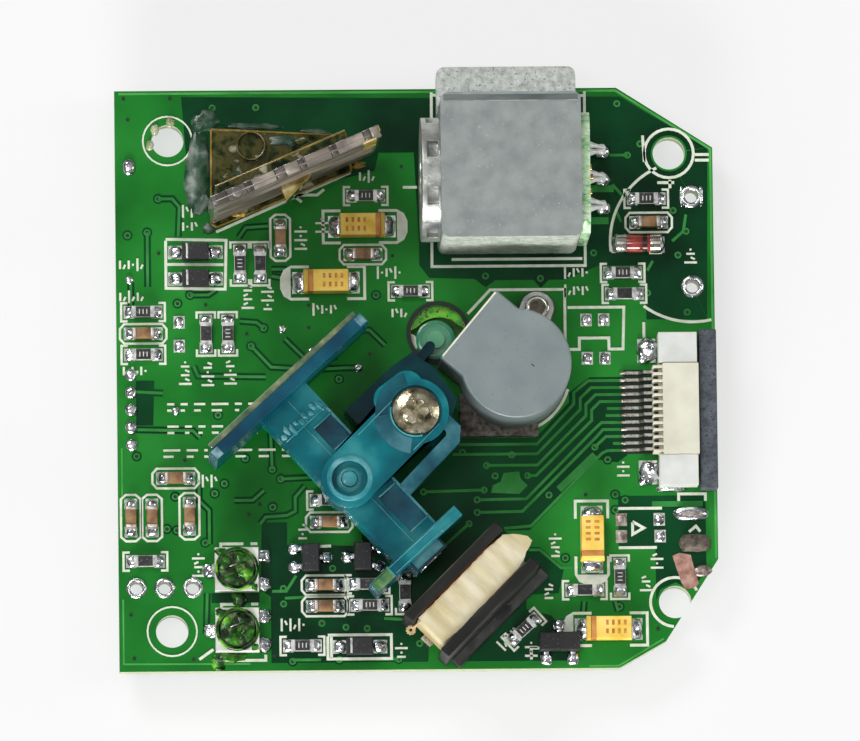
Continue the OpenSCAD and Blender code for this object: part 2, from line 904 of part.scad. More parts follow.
module mirror_carrier() {
    plate_half = plate_l / 2;
    pocket_x = rear_plate_x + rear_plate_t;
    color([0, 0.5, 0.57, 0.9]) on_board() on_carrier() difference() {
        union() {
            block([plate_x - plate_t, plate_x],
                [plate_y - plate_half, plate_y + plate_half],
                [plate_bottom, mirror_top]);
            block([plate_x, rear_plate_x], arm_y, arm_z);
            block([plate_x, -4.9], [arm_y[0] + 0.1, arm_y[1]],
                [arm_z[0], arm_z[1] + 0.6]);
            disc(hub_r, hub_z[0], hub_z[1]);
            block([rear_plate_x, pocket_x], rear_plate_y, rear_plate_z);
            block([pocket_x, pocket_x + pocket_reach], [-0.95, 1.85],
                [rear_plate_z[0], magnet_z + 1.5]);
        }
        // steps along one side of the arm
        block([-4.4, -2.3], [0.7, 4], [arm_z[1] - 0.6, 9]);
        block([2.3, 5.6], [0.7, 4], [arm_z[1] - 0.6, 9]);
        disc(pin_r + pin_play, 0, 9);
        translate([0, magnet_y, magnet_z])
            rod(magnet_r, pocket_x + pocket_reach - magnet_l, 20);
    }
}

module scan_mirror_glass() {
    half = plate_l / 2 - 0.3;
    color([0.7, 0.8, 0.8, 0.4]) on_board() on_carrier()
        block([plate_x - plate_t - glass_t, plate_x - plate_t],
            [plate_y - half, plate_y + half], [plate_bottom + 0.2, mirror_top - 0.1]);
}

module magnet() {
    outer = rear_plate_x + rear_plate_t + pocket_reach;
    color([0.72, 0.72, 0.74]) on_board() on_carrier()
        translate([0, magnet_y, magnet_z])
            rod(magnet_r, outer - magnet_l, outer + 0.1);
}

// -------------------------------------------------------------- drive coil

module on_coil() at([coil_place[0], coil_place[1], coil_turn]) children();

outer_x = flange_t + winding_l;
tube_wall = 0.5;
tube = [core_size[0] + 2 * tube_wall, core_size[1] + 2 * tube_wall];
winding_edge_r = 0.9;
winding_half = flange_l / 2 - 0.85;
winding_z = [0.75, flange_h - 0.5];
winding_h = winding_z[1] - winding_z[0];
winding_mid_z = (winding_z[0] + winding_z[1]) / 2;
coil_terminal_x = flange_t + winding_l / 2;
coil_terminal_y = flange_l / 2 - 0.4;

module coil_bobbin() {
    half = flange_l / 2;
    color([0.17, 0.17, 0.17]) on_board() on_coil() difference() {
        union() {
            block([0, flange_t], [-half, half], [0, flange_h]);
            block([flange_t, outer_x], [-tube[0] / 2, tube[0] / 2],
                [core_z - tube[1] / 2, core_z + tube[1] / 2]);
            block([outer_x, outer_x + outer_flange_t], [-half, half], [0, flange_h]);
            block([outer_x, outer_x + outer_flange_t + ledge_t],
                ledge_y, [0, ledge_h]);
        }
        block([-1, 10], [-core_size[0] / 2, core_size[0] / 2],
            [core_z - core_size[1] / 2, core_z + core_size[1] / 2]);
    }
}

module coil_winding() {
    color([0.6, 0.3, 0.12]) on_board() on_coil() difference() {
        translate([flange_t, 0, winding_mid_z])
            rotate([90, 0, 90])
                round_slab(2 * winding_half, winding_h, winding_edge_r, 0, winding_l);
        block([0, 10], [-tube[0] / 2, tube[0] / 2],
            [core_z - tube[1] / 2, core_z + tube[1] / 2]);
    }
}

module coil_tape() {
    wall = 0.15;
    end_t = 0.12;
    gap = 0.05;
    color([0.88, 0.84, 0.7]) on_board() on_coil() {
        translate([flange_t, 0, winding_mid_z])
            rotate([90, 0, 90])
                difference() {
                    round_slab(2 * (winding_half + wall), winding_h + 2 * wall,
                        winding_edge_r + wall, gap, winding_l - gap);
                    round_slab(2 * winding_half, winding_h, winding_edge_r,
                        -1, winding_l + 1);
                }
        // loose pointed end that stands out over the bobbin's end
        translate([0, 0, winding_z[1] + wall])
            linear_extrude(end_t)
                polygon([[0.95, 2.4], [3.5, 2.4], [3.4, 4.1], [3.15, 4.5],
                    [2.8, 5.4], [2.5, 5.5], [1.6, 4.9], [1.1, 4.4]]);
    }
}

module coil_core() {
    color([0.4, 0.4, 0.42]) on_board() on_coil()
        block([0.1, outer_x + outer_flange_t - 0.2],
            [-core_size[0] / 2, core_size[0] / 2],
            [core_z - core_size[1] / 2, core_z + core_size[1] / 2]);
}

module coil_terminals() {
    color([0.8, 0.8, 0.82]) on_board() on_coil()
        for (s = [-1, 1])
            translate([coil_terminal_x, s * coil_terminal_y, 0])
                slab(0.9, 0.5, 0, 0.55);
}

// -------------------------------------------------------------- underside

// Turns what is drawn upwards from height 0 onto the board's lower face
module under_board() translate([0, 0, -board_t]) mirror([0, 0, 1]) children();

module microcontroller() {
    color([0.12, 0.12, 0.12]) on_board() under_board()
        at(mcu_place) slab(mcu_side, mcu_side, 0.15, underside_h);
}

module microcontroller_leads() {
    pitch = 0.8;
    count = 8;
    color([0.8, 0.8, 0.82]) on_board() under_board()
        at(mcu_place)
            for (side = [0 : 3], i = [0 : count - 1])
                rotate([0, 0, side * 90])
                    translate([mcu_side / 2, (i - (count - 1) / 2) * pitch, 0]) {
                        block([0, 0.4], [-0.18, 0.18], [0.75, 0.95]);
                        block([0.4, 0.6], [-0.18, 0.18], [0, 0.95]);
                        block([0.6, 1], [-0.18, 0.18], [0, 0.2]);
                    }
}

module amplifier_chips() {
    color([0.12, 0.12, 0.12]) on_board() under_board()
        for (p = amp_places)
            at(p) slab(amp_size[0], amp_size[1], 0.15, underside_h);
}

module amplifier_leads() {
    pitch = 1.27;
    color([0.8, 0.8, 0.82]) on_board() under_board()
        for (p = amp_places, s = [-1, 1], i = [0 : 3])
            at(p)
                translate([(i - 1.5) * pitch, s * amp_size[1] / 2, 0]) {
                    block([-0.2, 0.2], s > 0 ? [0, 0.5] : [-0.5, 0], [0.75, 0.95]);
                    block([-0.2, 0.2], s > 0 ? [0.5, 0.7] : [-0.7, -0.5], [0, 0.95]);
                    block([-0.2, 0.2], s > 0 ? [0.7, 1.1] : [-1.1, -0.7], [0, 0.2]);
                }
}

module crystal() {
    color([0.75, 0.76, 0.78]) on_board() under_board()
        at(crystal_place) {
            slab(5, 3.2, 0, 0.3);
            slab(4.6, 2.8, 0.3, 1.1);
        }
}

module underside_passives() {
    color([0.45, 0.36, 0.28]) on_board() under_board()
        for (p = under_chip_places)
            at(p) slab(chip_l, chip_w, 0, 0.7);
}

module solder_joint() cylinder(r1 = 0.55, r2 = 0.2, h = 0.7);

module underside_solder_joints() {
    color([0.8, 0.8, 0.82]) on_board() under_board() {
        on_shield()
            for (y = photodiode_leg_ys)
                translate([photodiode_x, y, 0]) solder_joint();
        on_coil()
            for (s = [-1, 1])
                translate([coil_terminal_x, s * coil_terminal_y, 0]) solder_joint();
    }
}

circuit_board();
solder_pads();
chip_resistors();
chip_capacitors();
tantalum_capacitors();
signal_diodes();
glass_diode();
small_transistors();
output_transistor();
trimmer_1_body();
trimmer_1_rotor();
trimmer_2_body();
trimmer_2_rotor();
trimmer_terminals();
socket_housing();
socket_contacts();
socket_slider();
socket_solder_tabs();
laser_housing();
laser_barrel();
focus_ring();
collimating_lens();
lens_spring();
laser_diode();
laser_driver_board();
driver_board_pins();
detector_shield();
red_filter();
photodiode();
shield_base();
shield_rivet();
collecting_mirror();
fold_mirror();
mirror_bracket();
mirror_adhesive();
pivot_bracket();
bracket_base();
bracket_screw();
bracket_nut();
pivot_pin();
mirror_carrier();
scan_mirror_glass();
magnet();
coil_bobbin();
coil_winding();
coil_tape();
coil_core();
coil_terminals();
microcontroller();
microcontroller_leads();
amplifier_chips();
amplifier_leads();
crystal();
underside_passives();
underside_solder_joints();
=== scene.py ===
"""Looks of the laser scanner board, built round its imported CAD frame."""

import math
import random

import bmesh
import bpy
from mathutils import Matrix, Vector


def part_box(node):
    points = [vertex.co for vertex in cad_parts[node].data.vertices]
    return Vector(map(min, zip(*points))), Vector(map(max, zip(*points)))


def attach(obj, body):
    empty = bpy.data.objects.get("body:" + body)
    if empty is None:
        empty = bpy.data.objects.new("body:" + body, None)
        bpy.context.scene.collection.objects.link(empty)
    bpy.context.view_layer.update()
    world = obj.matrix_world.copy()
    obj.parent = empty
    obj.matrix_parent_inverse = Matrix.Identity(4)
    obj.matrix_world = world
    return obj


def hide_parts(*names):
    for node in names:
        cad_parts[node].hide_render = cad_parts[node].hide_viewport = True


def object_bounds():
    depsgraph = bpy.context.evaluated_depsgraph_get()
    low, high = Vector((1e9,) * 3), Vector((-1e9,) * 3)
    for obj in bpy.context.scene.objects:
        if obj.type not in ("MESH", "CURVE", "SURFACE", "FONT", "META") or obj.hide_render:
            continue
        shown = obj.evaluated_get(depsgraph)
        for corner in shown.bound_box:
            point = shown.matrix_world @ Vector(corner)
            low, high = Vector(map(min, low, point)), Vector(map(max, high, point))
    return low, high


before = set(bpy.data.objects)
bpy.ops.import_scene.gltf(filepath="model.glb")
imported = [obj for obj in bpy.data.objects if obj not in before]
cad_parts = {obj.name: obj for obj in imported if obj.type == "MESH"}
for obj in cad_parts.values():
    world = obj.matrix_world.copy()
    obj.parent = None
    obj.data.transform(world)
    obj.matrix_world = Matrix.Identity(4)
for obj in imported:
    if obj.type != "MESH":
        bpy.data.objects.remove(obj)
cad_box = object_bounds()

# Places below are board millimetres: X and Y from the board's centre, Z from its top face.
MM = 0.001
board_low, board_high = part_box("circuit_board")
CENTRE = Vector(((board_low.x + board_high.x) / 2, (board_low.y + board_high.y) / 2, board_high.z))
BOARD_T = (board_high.z - board_low.z) / MM
TO_ROW = Matrix.Translation(CENTRE) @ Matrix.Diagonal((MM, MM, MM, 1))
TO_BOARD = TO_ROW.inverted()


def box_of(node):
    """Ranges of a CAD node along X, Y and Z, in board millimetres."""
    a, b = (TO_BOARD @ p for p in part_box(node))
    return (a.x, b.x), (a.y, b.y), (a.z, b.z)


# ------------------------------------------------------------------ finishes


def srgb(tone):
    """A linear RGBA colour from red, green and blue of 0 to 255."""
    linear = [c / 255 / 12.92 if c <= 10 else ((c / 255 + 0.055) / 1.055) ** 2.4 for c in tone]
    return (*linear, 1.0)


def node_tools(owner):
    """What adds a node with given inputs, what links sockets, and a tree's nodes."""
    owner.use_nodes = True
    tree = owner.node_tree

    def add(kind, **inputs):
        made = tree.nodes.new(kind)
        for label, value in inputs.items():
            made.inputs[label.replace("_", " ")].default_value = value
        return made

    return add, tree.links.new, tree.nodes


def finish(name, tones, grain=700, rough=(0.35, 0.5), metal=0.0, bump=0.0, fine=None, stretch=(1, 1, 1),
        turn=0.0, coat=0.0, inside=0.0, clear=0.0, speck=None, spread=0.18, ior=1.5, detail=3.0):
    """A surface of patchy tones. grain and fine are the patches' and the bumps' counts per
    metre, bump is a height in millimetres and speck is (tone, share, count per metre)."""
    made = bpy.data.materials.new(name)
    add, link, nodes = node_tools(made)
    shader = nodes["Principled BSDF"]
    mapping = add("ShaderNodeMapping")
    mapping.vector_type = "TEXTURE"
    mapping.inputs["Scale"].default_value = stretch
    mapping.inputs["Rotation"].default_value[2] = math.radians(turn)
    link(add("ShaderNodeTexCoord").outputs["Object"], mapping.inputs["Vector"])

    def cloud(count, depth):
        noise = add("ShaderNodeTexNoise", Scale=count, Detail=depth)
        link(mapping.outputs["Vector"], noise.inputs["Vector"])
        return noise.outputs["Fac"]

    patches = cloud(grain, detail)
    ramp = add("ShaderNodeValToRGB")
    stops = ramp.color_ramp.elements
    while len(stops) < len(tones):
        stops.new(0.5)
    for i, tone in enumerate(tones):
        stops[i].position = 0.5 + spread * (2 * i / max(1, len(tones) - 1) - 1)
        stops[i].color = srgb(tone)
    link(patches, ramp.inputs["Fac"])
    colour = ramp.outputs["Color"]
    if speck:
        tone, share, count = speck
        edge = add("ShaderNodeMapRange", From_Min=0.72 - share, From_Max=0.76 - share)
        link(cloud(count, 1.0), edge.inputs["Value"])
        mix = add("ShaderNodeMix")
        mix.data_type = "RGBA"
        link(edge.outputs["Result"], mix.inputs["Factor"])
        link(colour, mix.inputs["A"])
        mix.inputs["B"].default_value = srgb(tone)
        colour = mix.outputs["Result"]
    link(colour, shader.inputs["Base Color"])
    dull = add("ShaderNodeMapRange", From_Min=0.3, From_Max=0.7, To_Min=rough[0], To_Max=rough[1])
    link(patches, dull.inputs["Value"])
    link(dull.outputs["Result"], shader.inputs["Roughness"])
    if bump:
        relief = add("ShaderNodeBump", Strength=1.0, Distance=bump * MM)
        link(cloud(fine or grain * 4, 2.0), relief.inputs["Height"])
        link(relief.outputs["Normal"], shader.inputs["Normal"])
    even = {"Metallic": metal, "IOR": ior, "Coat Weight": coat, "Coat Roughness": 0.12}
    if inside:
        even |= {"Subsurface Weight": inside, "Subsurface Radius": (0.3, 0.8, 1.0),
            "Subsurface Scale": MM}
    if clear:
        even["Transmission Weight"] = clear
    for label, value in even.items():
        shader.inputs[label].default_value = value
    return made


POUR = finish("mask_over_copper", [(18, 96, 30), (28, 122, 40), (40, 138, 50)], 110, (0.22, 0.34),
    bump=0.006, fine=1500, ior=1.2)
DARK = finish("mask_over_laminate", [(2, 42, 20), (4, 60, 30), (8, 74, 36)], 160, (0.22, 0.34),
    bump=0.006, fine=1800, ior=1.2)
EDGE = finish("mask_at_pour_edge", [(62, 150, 66), (88, 176, 88)], 400, bump=0.004, ior=1.2)
TRACE = finish("mask_over_trace", [(40, 122, 50), (62, 146, 70)], 500, (0.2, 0.3), bump=0.006,
    fine=2400, ior=1.2)
# White print, also used for painted highlights on the detector's rim and in the locating hole.
SILK_AND_HIGHLIGHT = finish("screen_print_and_painted_highlight", [(212, 220, 196), (238, 243, 228)], 1500, (0.5, 0.7), bump=0.01,
    fine=6000)
SOLDER = finish("reflowed_solder", [(150, 152, 156), (226, 228, 230), (248, 248, 250)], 1400,
    (0.08, 0.26), metal=1.0, bump=0.05, fine=2600)
DULL_SOLDER = finish("tarnished_solder", [(110, 98, 90), (176, 160, 150), (200, 190, 184)], 2200,
    (0.3, 0.5), metal=0.9, bump=0.03, fine=5200)
TIN = finish("tinned_end", [(150, 150, 148), (206, 206, 202), (230, 230, 226)], 2600, (0.3, 0.45),
    metal=0.75, bump=0.02, fine=6000)
BRIGHT_LEAD = finish("bright_lead", [(206, 206, 202), (238, 238, 236), (250, 250, 250)], 1600,
    (0.25, 0.4), metal=0.2, bump=0.04, fine=3000)
RESISTOR = finish("resistor_coat", [(20, 20, 22), (36, 36, 38), (58, 58, 58)], 2800, (0.3, 0.5),
    bump=0.02, fine=9000, speck=((92, 92, 90), 0.1, 4200))
CERAMIC = finish("fired_ceramic", [(112, 80, 50), (150, 112, 74), (172, 134, 94)], 1300, (0.4, 0.55),
    bump=0.015, fine=8000)
TANTALUM = finish("moulded_yellow", [(236, 190, 74), (250, 212, 98), (255, 226, 126)], 800, (0.5, 0.65),
    bump=0.012, fine=7000, ior=1.3)
STRIPE = finish("capacitor_stripe", [(176, 104, 40), (204, 134, 62), (214, 152, 84)], 1200, (0.5, 0.65),
    bump=0.01, fine=7000)
RESIN = finish("black_resin", [(26, 26, 27), (40, 40, 41)], 1600, (0.5, 0.7), bump=0.02, fine=12000,
    speck=((74, 74, 74), 0.06, 6000))
DIODE_GLASS = finish("diode_glass", [(96, 26, 20), (170, 62, 50), (190, 84, 66)], 700, (0.08, 0.16),
    bump=0.01, coat=0.8)
DIODE_CORE = finish("diode_core", [(24, 12, 12), (60, 24, 22)], 1500, (0.2, 0.3), coat=0.6)
WHITE = finish("white_moulding", [(206, 206, 196), (232, 232, 224)], 900, (0.4, 0.55), bump=0.01,
    fine=6000)
LACQUER = finish("green_lacquer", [(0, 16, 0), (14, 70, 2), (48, 122, 10), (128, 200, 58)], 1100,
    (0.05, 0.12), bump=0.08, fine=1900, coat=0.35, spread=0.16, ior=1.3)
ROTOR = finish("rotor_metal", [(8, 14, 6), (30, 60, 18), (120, 150, 90)], 1500, (0.15, 0.35), metal=0.5,
    bump=0.04, fine=3000)
CREAM = finish("cream_moulding", [(214, 211, 190), (232, 230, 212)], 500, (0.45, 0.6), bump=0.006,
    fine=5000)
PALE_GREY = finish("pale_grey_moulding", [(210, 213, 208), (230, 232, 228)], 600, (0.45, 0.6),
    bump=0.006, fine=5000)
SLATE = finish("slate_moulding", [(58, 62, 70), (78, 84, 92), (92, 98, 106)], 1800, (0.6, 0.8),
    bump=0.05, fine=7000, speck=((40, 42, 46), 0.1, 5200))
CONTACT = finish("tinned_contact", [(150, 146, 134), (214, 212, 200)], 2400, (0.2, 0.35), metal=0.9,
    bump=0.01)
CAST = finish("cast_zinc", [(138, 145, 144), (150, 157, 155), (160, 166, 163)], 700, (0.42, 0.5),
    metal=0.4, bump=0.005, fine=5200, speck=((168, 173, 170), 0.03, 3600))
CAST_ROUGH = finish("speckled_casting", [(180, 184, 178), (206, 210, 204), (228, 231, 226)], 2400,
    (0.4, 0.55), metal=0.4, bump=0.03, fine=6400, speck=((150, 154, 150), 0.08, 5000))
# Paler casting for the housing's front faces: painted light where the front lamp falls.
CAST_LIT_FRONT = finish("front_casting_painted_light", [(168, 176, 164), (196, 203, 190), (216, 222, 210)], 1500,
    (0.5, 0.65), metal=0.1, bump=0.02, fine=5200, speck=((120, 126, 116), 0.05, 3600))
# Dark grey band: painted shade of the housing top's rounded rear edge.
CAST_EDGE_SHADE = finish("casting_painted_edge_shade", [(84, 92, 92), (110, 118, 117), (132, 139, 137)], 900, (0.5, 0.6),
    metal=0.3, bump=0.01, stretch=(4, 1, 1))
CAN = finish("shield_zinc", [(128, 139, 141), (135, 146, 147), (141, 151, 151)], 420, (0.4, 0.5),
    metal=0.4, bump=0.003, fine=7000, speck=((122, 130, 133), 0.03, 5000))
CAST_DARK = finish("casting_in_shade", [(70, 74, 74), (96, 100, 99)], 1200, (0.5, 0.6), metal=0.4,
    bump=0.02)
CAST_PALE = finish("bright_casting", [(150, 154, 150), (182, 184, 178), (204, 206, 200)], 900,
    (0.28, 0.42), metal=0.7, bump=0.02, fine=4200)
RED_LINE = finish("red_seam", [(90, 20, 22), (140, 40, 40)], 900, (0.3, 0.5), bump=0.01)
BASE_CAST = finish("brown_casting", [(58, 52, 46), (104, 98, 90), (134, 128, 120)], 2600, (0.6, 0.8),
    metal=0.3, bump=0.06, fine=6400)
STEEL = finish("bright_steel", [(150, 150, 148), (200, 200, 198)], 1200, (0.2, 0.35), metal=1.0,
    bump=0.006, fine=6000)
NICKEL = finish("nickel_plate", [(176, 172, 160), (216, 212, 200), (234, 231, 222)], 900, (0.12, 0.24),
    metal=1.0, bump=0.01, fine=5000)
SCREW_METAL = finish("screw_plate", [(84, 76, 54), (168, 160, 130), (214, 208, 186)], 1300, (0.14, 0.3),
    metal=0.9, bump=0.04, fine=2200, spread=0.2)
GOLD = finish("gold_plate", [(170, 128, 52), (222, 182, 88)], 900, (0.2, 0.32), metal=1.0)
DRIVER_PCB = finish("driver_board_mask", [(116, 184, 112), (194, 234, 184), (238, 250, 228)], 1400,
    (0.2, 0.4), bump=0.05, fine=3000, stretch=(1, 0.5, 3), coat=0.4)
RED = finish("red_filter_glass", [(90, 8, 8), (140, 18, 14)], 500, (0.05, 0.1), coat=1.0)
LENS = finish("coated_lens", [(120, 160, 170), (190, 214, 216)], 300, (0.03, 0.06), clear=0.8, ior=1.5)
SMOKY = finish("smoky_stick", [(70, 64, 60), (106, 98, 90), (146, 136, 124)], 620, (0.1, 0.24),
    bump=0.02, fine=1800, stretch=(4, 1, 1), turn=23, coat=0.5)
SMOKY_DARK = finish("smoky_mark", [(56, 50, 46), (92, 84, 76)], 1200, (0.15, 0.3), coat=0.4)
SMOKY_PALE = finish("smoky_light", [(104, 96, 90), (136, 127, 116), (168, 158, 142)], 800, (0.12, 0.25),
    coat=0.5)
GOLD_END = finish("golden_end", [(180, 138, 52), (232, 198, 100), (250, 230, 160)], 900, (0.1, 0.2),
    bump=0.02, coat=0.8, inside=0.3)
AMBER = finish("amber_resin", [(14, 34, 14), (48, 62, 30), (104, 98, 50), (74, 78, 50),
    (212, 206, 172)], 900, (0.1, 0.2), bump=0.06, fine=1500, clear=0.25, ior=1.2, spread=0.17, detail=6)
AMBER_EDGE = finish("amber_edge", [(110, 84, 20), (170, 138, 52), (214, 184, 96)], 700, (0.08, 0.2),
    coat=0.6, inside=0.2)
AMBER_DIM = finish("amber_boss", [(50, 52, 18), (110, 96, 36), (150, 132, 60)], 900, (0.1, 0.2),
    coat=0.5)
MIRROR = finish("mirror_coating", [(104, 84, 38), (160, 140, 84), (204, 194, 150)], 900, (0.05, 0.12),
    metal=0.9)
GLUE = finish("dried_glue", [(14, 62, 32), (34, 82, 50), (92, 116, 98), (170, 182, 170)], 1000,
    (0.25, 0.45), bump=0.04, fine=2400, coat=0.2, clear=0.3, spread=0.2, detail=6)
GLUE_CLEAR = finish("clear_glue", [(150, 160, 110), (214, 218, 184)], 1200, (0.04, 0.1), bump=0.03,
    coat=0.6, clear=0.15)
TEAL = finish("teal_moulding", [(0, 76, 90), (4, 110, 120), (52, 142, 146)], 260, (0.14, 0.26),
    bump=0.01, fine=1800, coat=0.06, inside=0.1, spread=0.18, ior=1.22)
# Paler teal: the pivot pin and a glue streak, and painted highlight on rims, rib edges and upper faces.
TEAL_PALE_AND_LIT = finish("pale_teal_and_painted_highlight", [(34, 122, 132), (66, 148, 156), (120, 180, 184)], 500,
    (0.14, 0.26), bump=0.01, fine=2200, coat=0.15, ior=1.3)
TEAL_DEEP = finish("teal_in_shade", [(0, 52, 70), (0, 80, 94), (8, 104, 112)], 320, (0.14, 0.28),
    bump=0.01, fine=2200, coat=0.1, ior=1.3, spread=0.16)
TEAL_PLATE = finish("teal_plate", [(0, 50, 74), (2, 72, 94), (14, 92, 110)], 260, (0.18, 0.3),
    bump=0.01, fine=2600, coat=0.1, ior=1.25)
# Bluer teal: the stop strip's own tone, also used for a crescent of painted shade on the arm.
TEAL_STRIP_AND_SHADE = finish("teal_stop_strip_and_painted_shade", [(6, 58, 74), (26, 88, 102), (66, 122, 132)], 420, (0.16, 0.28),
    bump=0.01, fine=2200, coat=0.1, ior=1.3)
TEAL_POOL = finish("teal_pocket_floor", [(0, 66, 92), (8, 90, 112), (30, 112, 126)], 500, (0.14, 0.26),
    bump=0.01, fine=2200, coat=0.1, ior=1.3)
# Pale blue: painted highlight at the mirror plate's ends.
PLATE_END_LIGHT = finish("blue_painted_highlight_edge", [(40, 96, 116), (96, 140, 150), (140, 170, 172)], 1200, (0.3, 0.5),
    bump=0.02, coat=0.3)
LIME = finish("lit_lower_edge", [(24, 92, 60), (72, 124, 58), (130, 156, 84)], 900, (0.2, 0.35),
    bump=0.02, coat=0.2)
# Dark teal: painted shade on the bracket's low base.
TEAL_BASE_SHADED = finish("teal_base_painted_shade", [(0, 40, 50), (0, 62, 70), (0, 80, 84)], 300, (0.16, 0.3), bump=0.01,
    fine=2400, ior=1.25)
MIRROR_GLASS = finish("mirror_glass_edge", [(34, 76, 48), (96, 116, 74), (158, 164, 116)], 700,
    (0.08, 0.16), coat=0.4)
SILVERED = finish("silvered_face", [(168, 172, 174), (196, 200, 202)], 200, (0.02, 0.06), metal=1.0,
    speck=((150, 154, 158), 0.02, 2600))
COLLECTOR_COAT = finish("collector_coating", [(58, 52, 48), (100, 92, 84), (146, 136, 124)], 600,
    (0.3, 0.45), stretch=(4, 1, 1), turn=23, ior=1.3)
BLACK = finish("black_moulding", [(22, 23, 22), (32, 33, 31), (46, 46, 42)], 700, (0.4, 0.6), bump=0.02,
    fine=4200, stretch=(5, 1, 1), turn=45, ior=1.3)
# Paler black: painted highlight along the bobbin's edges.
EDGE_HIGHLIGHT = finish("painted_highlight_edge", [(30, 31, 29), (44, 44, 40), (84, 80, 70)], 1600, (0.4, 0.6), bump=0.02,
    fine=5200, stretch=(6, 1, 1), turn=45, ior=1.3)
COPPER = finish("enamelled_wire", [(120, 52, 18), (176, 88, 36), (206, 120, 60)], 2000, (0.2, 0.35),
    metal=0.9, bump=0.05, fine=9000, stretch=(1, 12, 1), turn=-45)
TAPE = finish("cream_tape", [(170, 146, 96), (196, 180, 134), (212, 200, 160), (226, 217, 190)], 520,
    (0.6, 0.8), bump=0.04, fine=2400, stretch=(1, 3, 1), turn=45, detail=6)
TAN = finish("wire_end", [(170, 138, 88), (222, 198, 150)], 1500, (0.3, 0.5), bump=0.02)
LEDGE = finish("matt_ledge", [(56, 58, 56), (68, 70, 67), (80, 82, 78)], 900, (0.55, 0.7), bump=0.01,
    fine=5200, ior=1.3)
IRON = finish("core_iron", [(34, 34, 36), (62, 62, 64)], 2000, (0.5, 0.7), metal=0.6, bump=0.02)
PEG = finish("peg_moulding", [(20, 120, 84), (52, 150, 110), (96, 176, 132)], 260, (0.12, 0.2),
    coat=0.6, inside=0.4)
PEG_NUB = finish("peg_nub", [(60, 160, 110), (96, 184, 136)], 400, (0.15, 0.25), coat=0.6)
HOLE_FLOOR = finish("light_through_hole", [(30, 110, 20), (70, 160, 30)], 900, (0.4, 0.6), bump=0.02)
PEG_GLOW = finish("hole_wall_light", [(36, 150, 0), (90, 214, 6), (150, 206, 20)], 1600, (0.2, 0.4),
    bump=0.03, coat=0.2, speck=((96, 96, 0), 0.16, 3200))
BARE_COPPER = finish("bare_copper", [(140, 100, 88), (176, 132, 116), (196, 160, 146)], 1800,
    (0.5, 0.7), metal=0.2, bump=0.02, fine=6000)
BROWN = finish("brown_residue", [(60, 52, 42), (98, 86, 74), (122, 112, 98)], 2000, (0.4, 0.7),
    bump=0.08, fine=4200)
# Near-black for via holes, also used for painted shade on one side of the locating hole's wall.
HOLE_AND_SHADE = finish("via_hole_and_painted_shade", [(4, 22, 10), (12, 40, 18)], 2000, (0.5, 0.7))
NUT = finish("nut_plate", [(160, 158, 150), (206, 204, 196)], 900, (0.2, 0.35), metal=1.0, bump=0.01)


# --------------------------------------------------------------------- shapes


def circle(r, sides=24, x=0.0, y=0.0):
    """Points round a circle."""
    turns = [2 * math.pi * i / sides for i in range(sides)]
    return [(x + r * math.cos(a), y + r * math.sin(a)) for a in turns]


def arc(r, start, end, steps):
    """Points along an arc, its ends in degrees."""
    turns = [math.radians(start + (end - start) * i / steps) for i in range(steps + 1)]
    return [(r * math.cos(a), r * math.sin(a)) for a in turns]


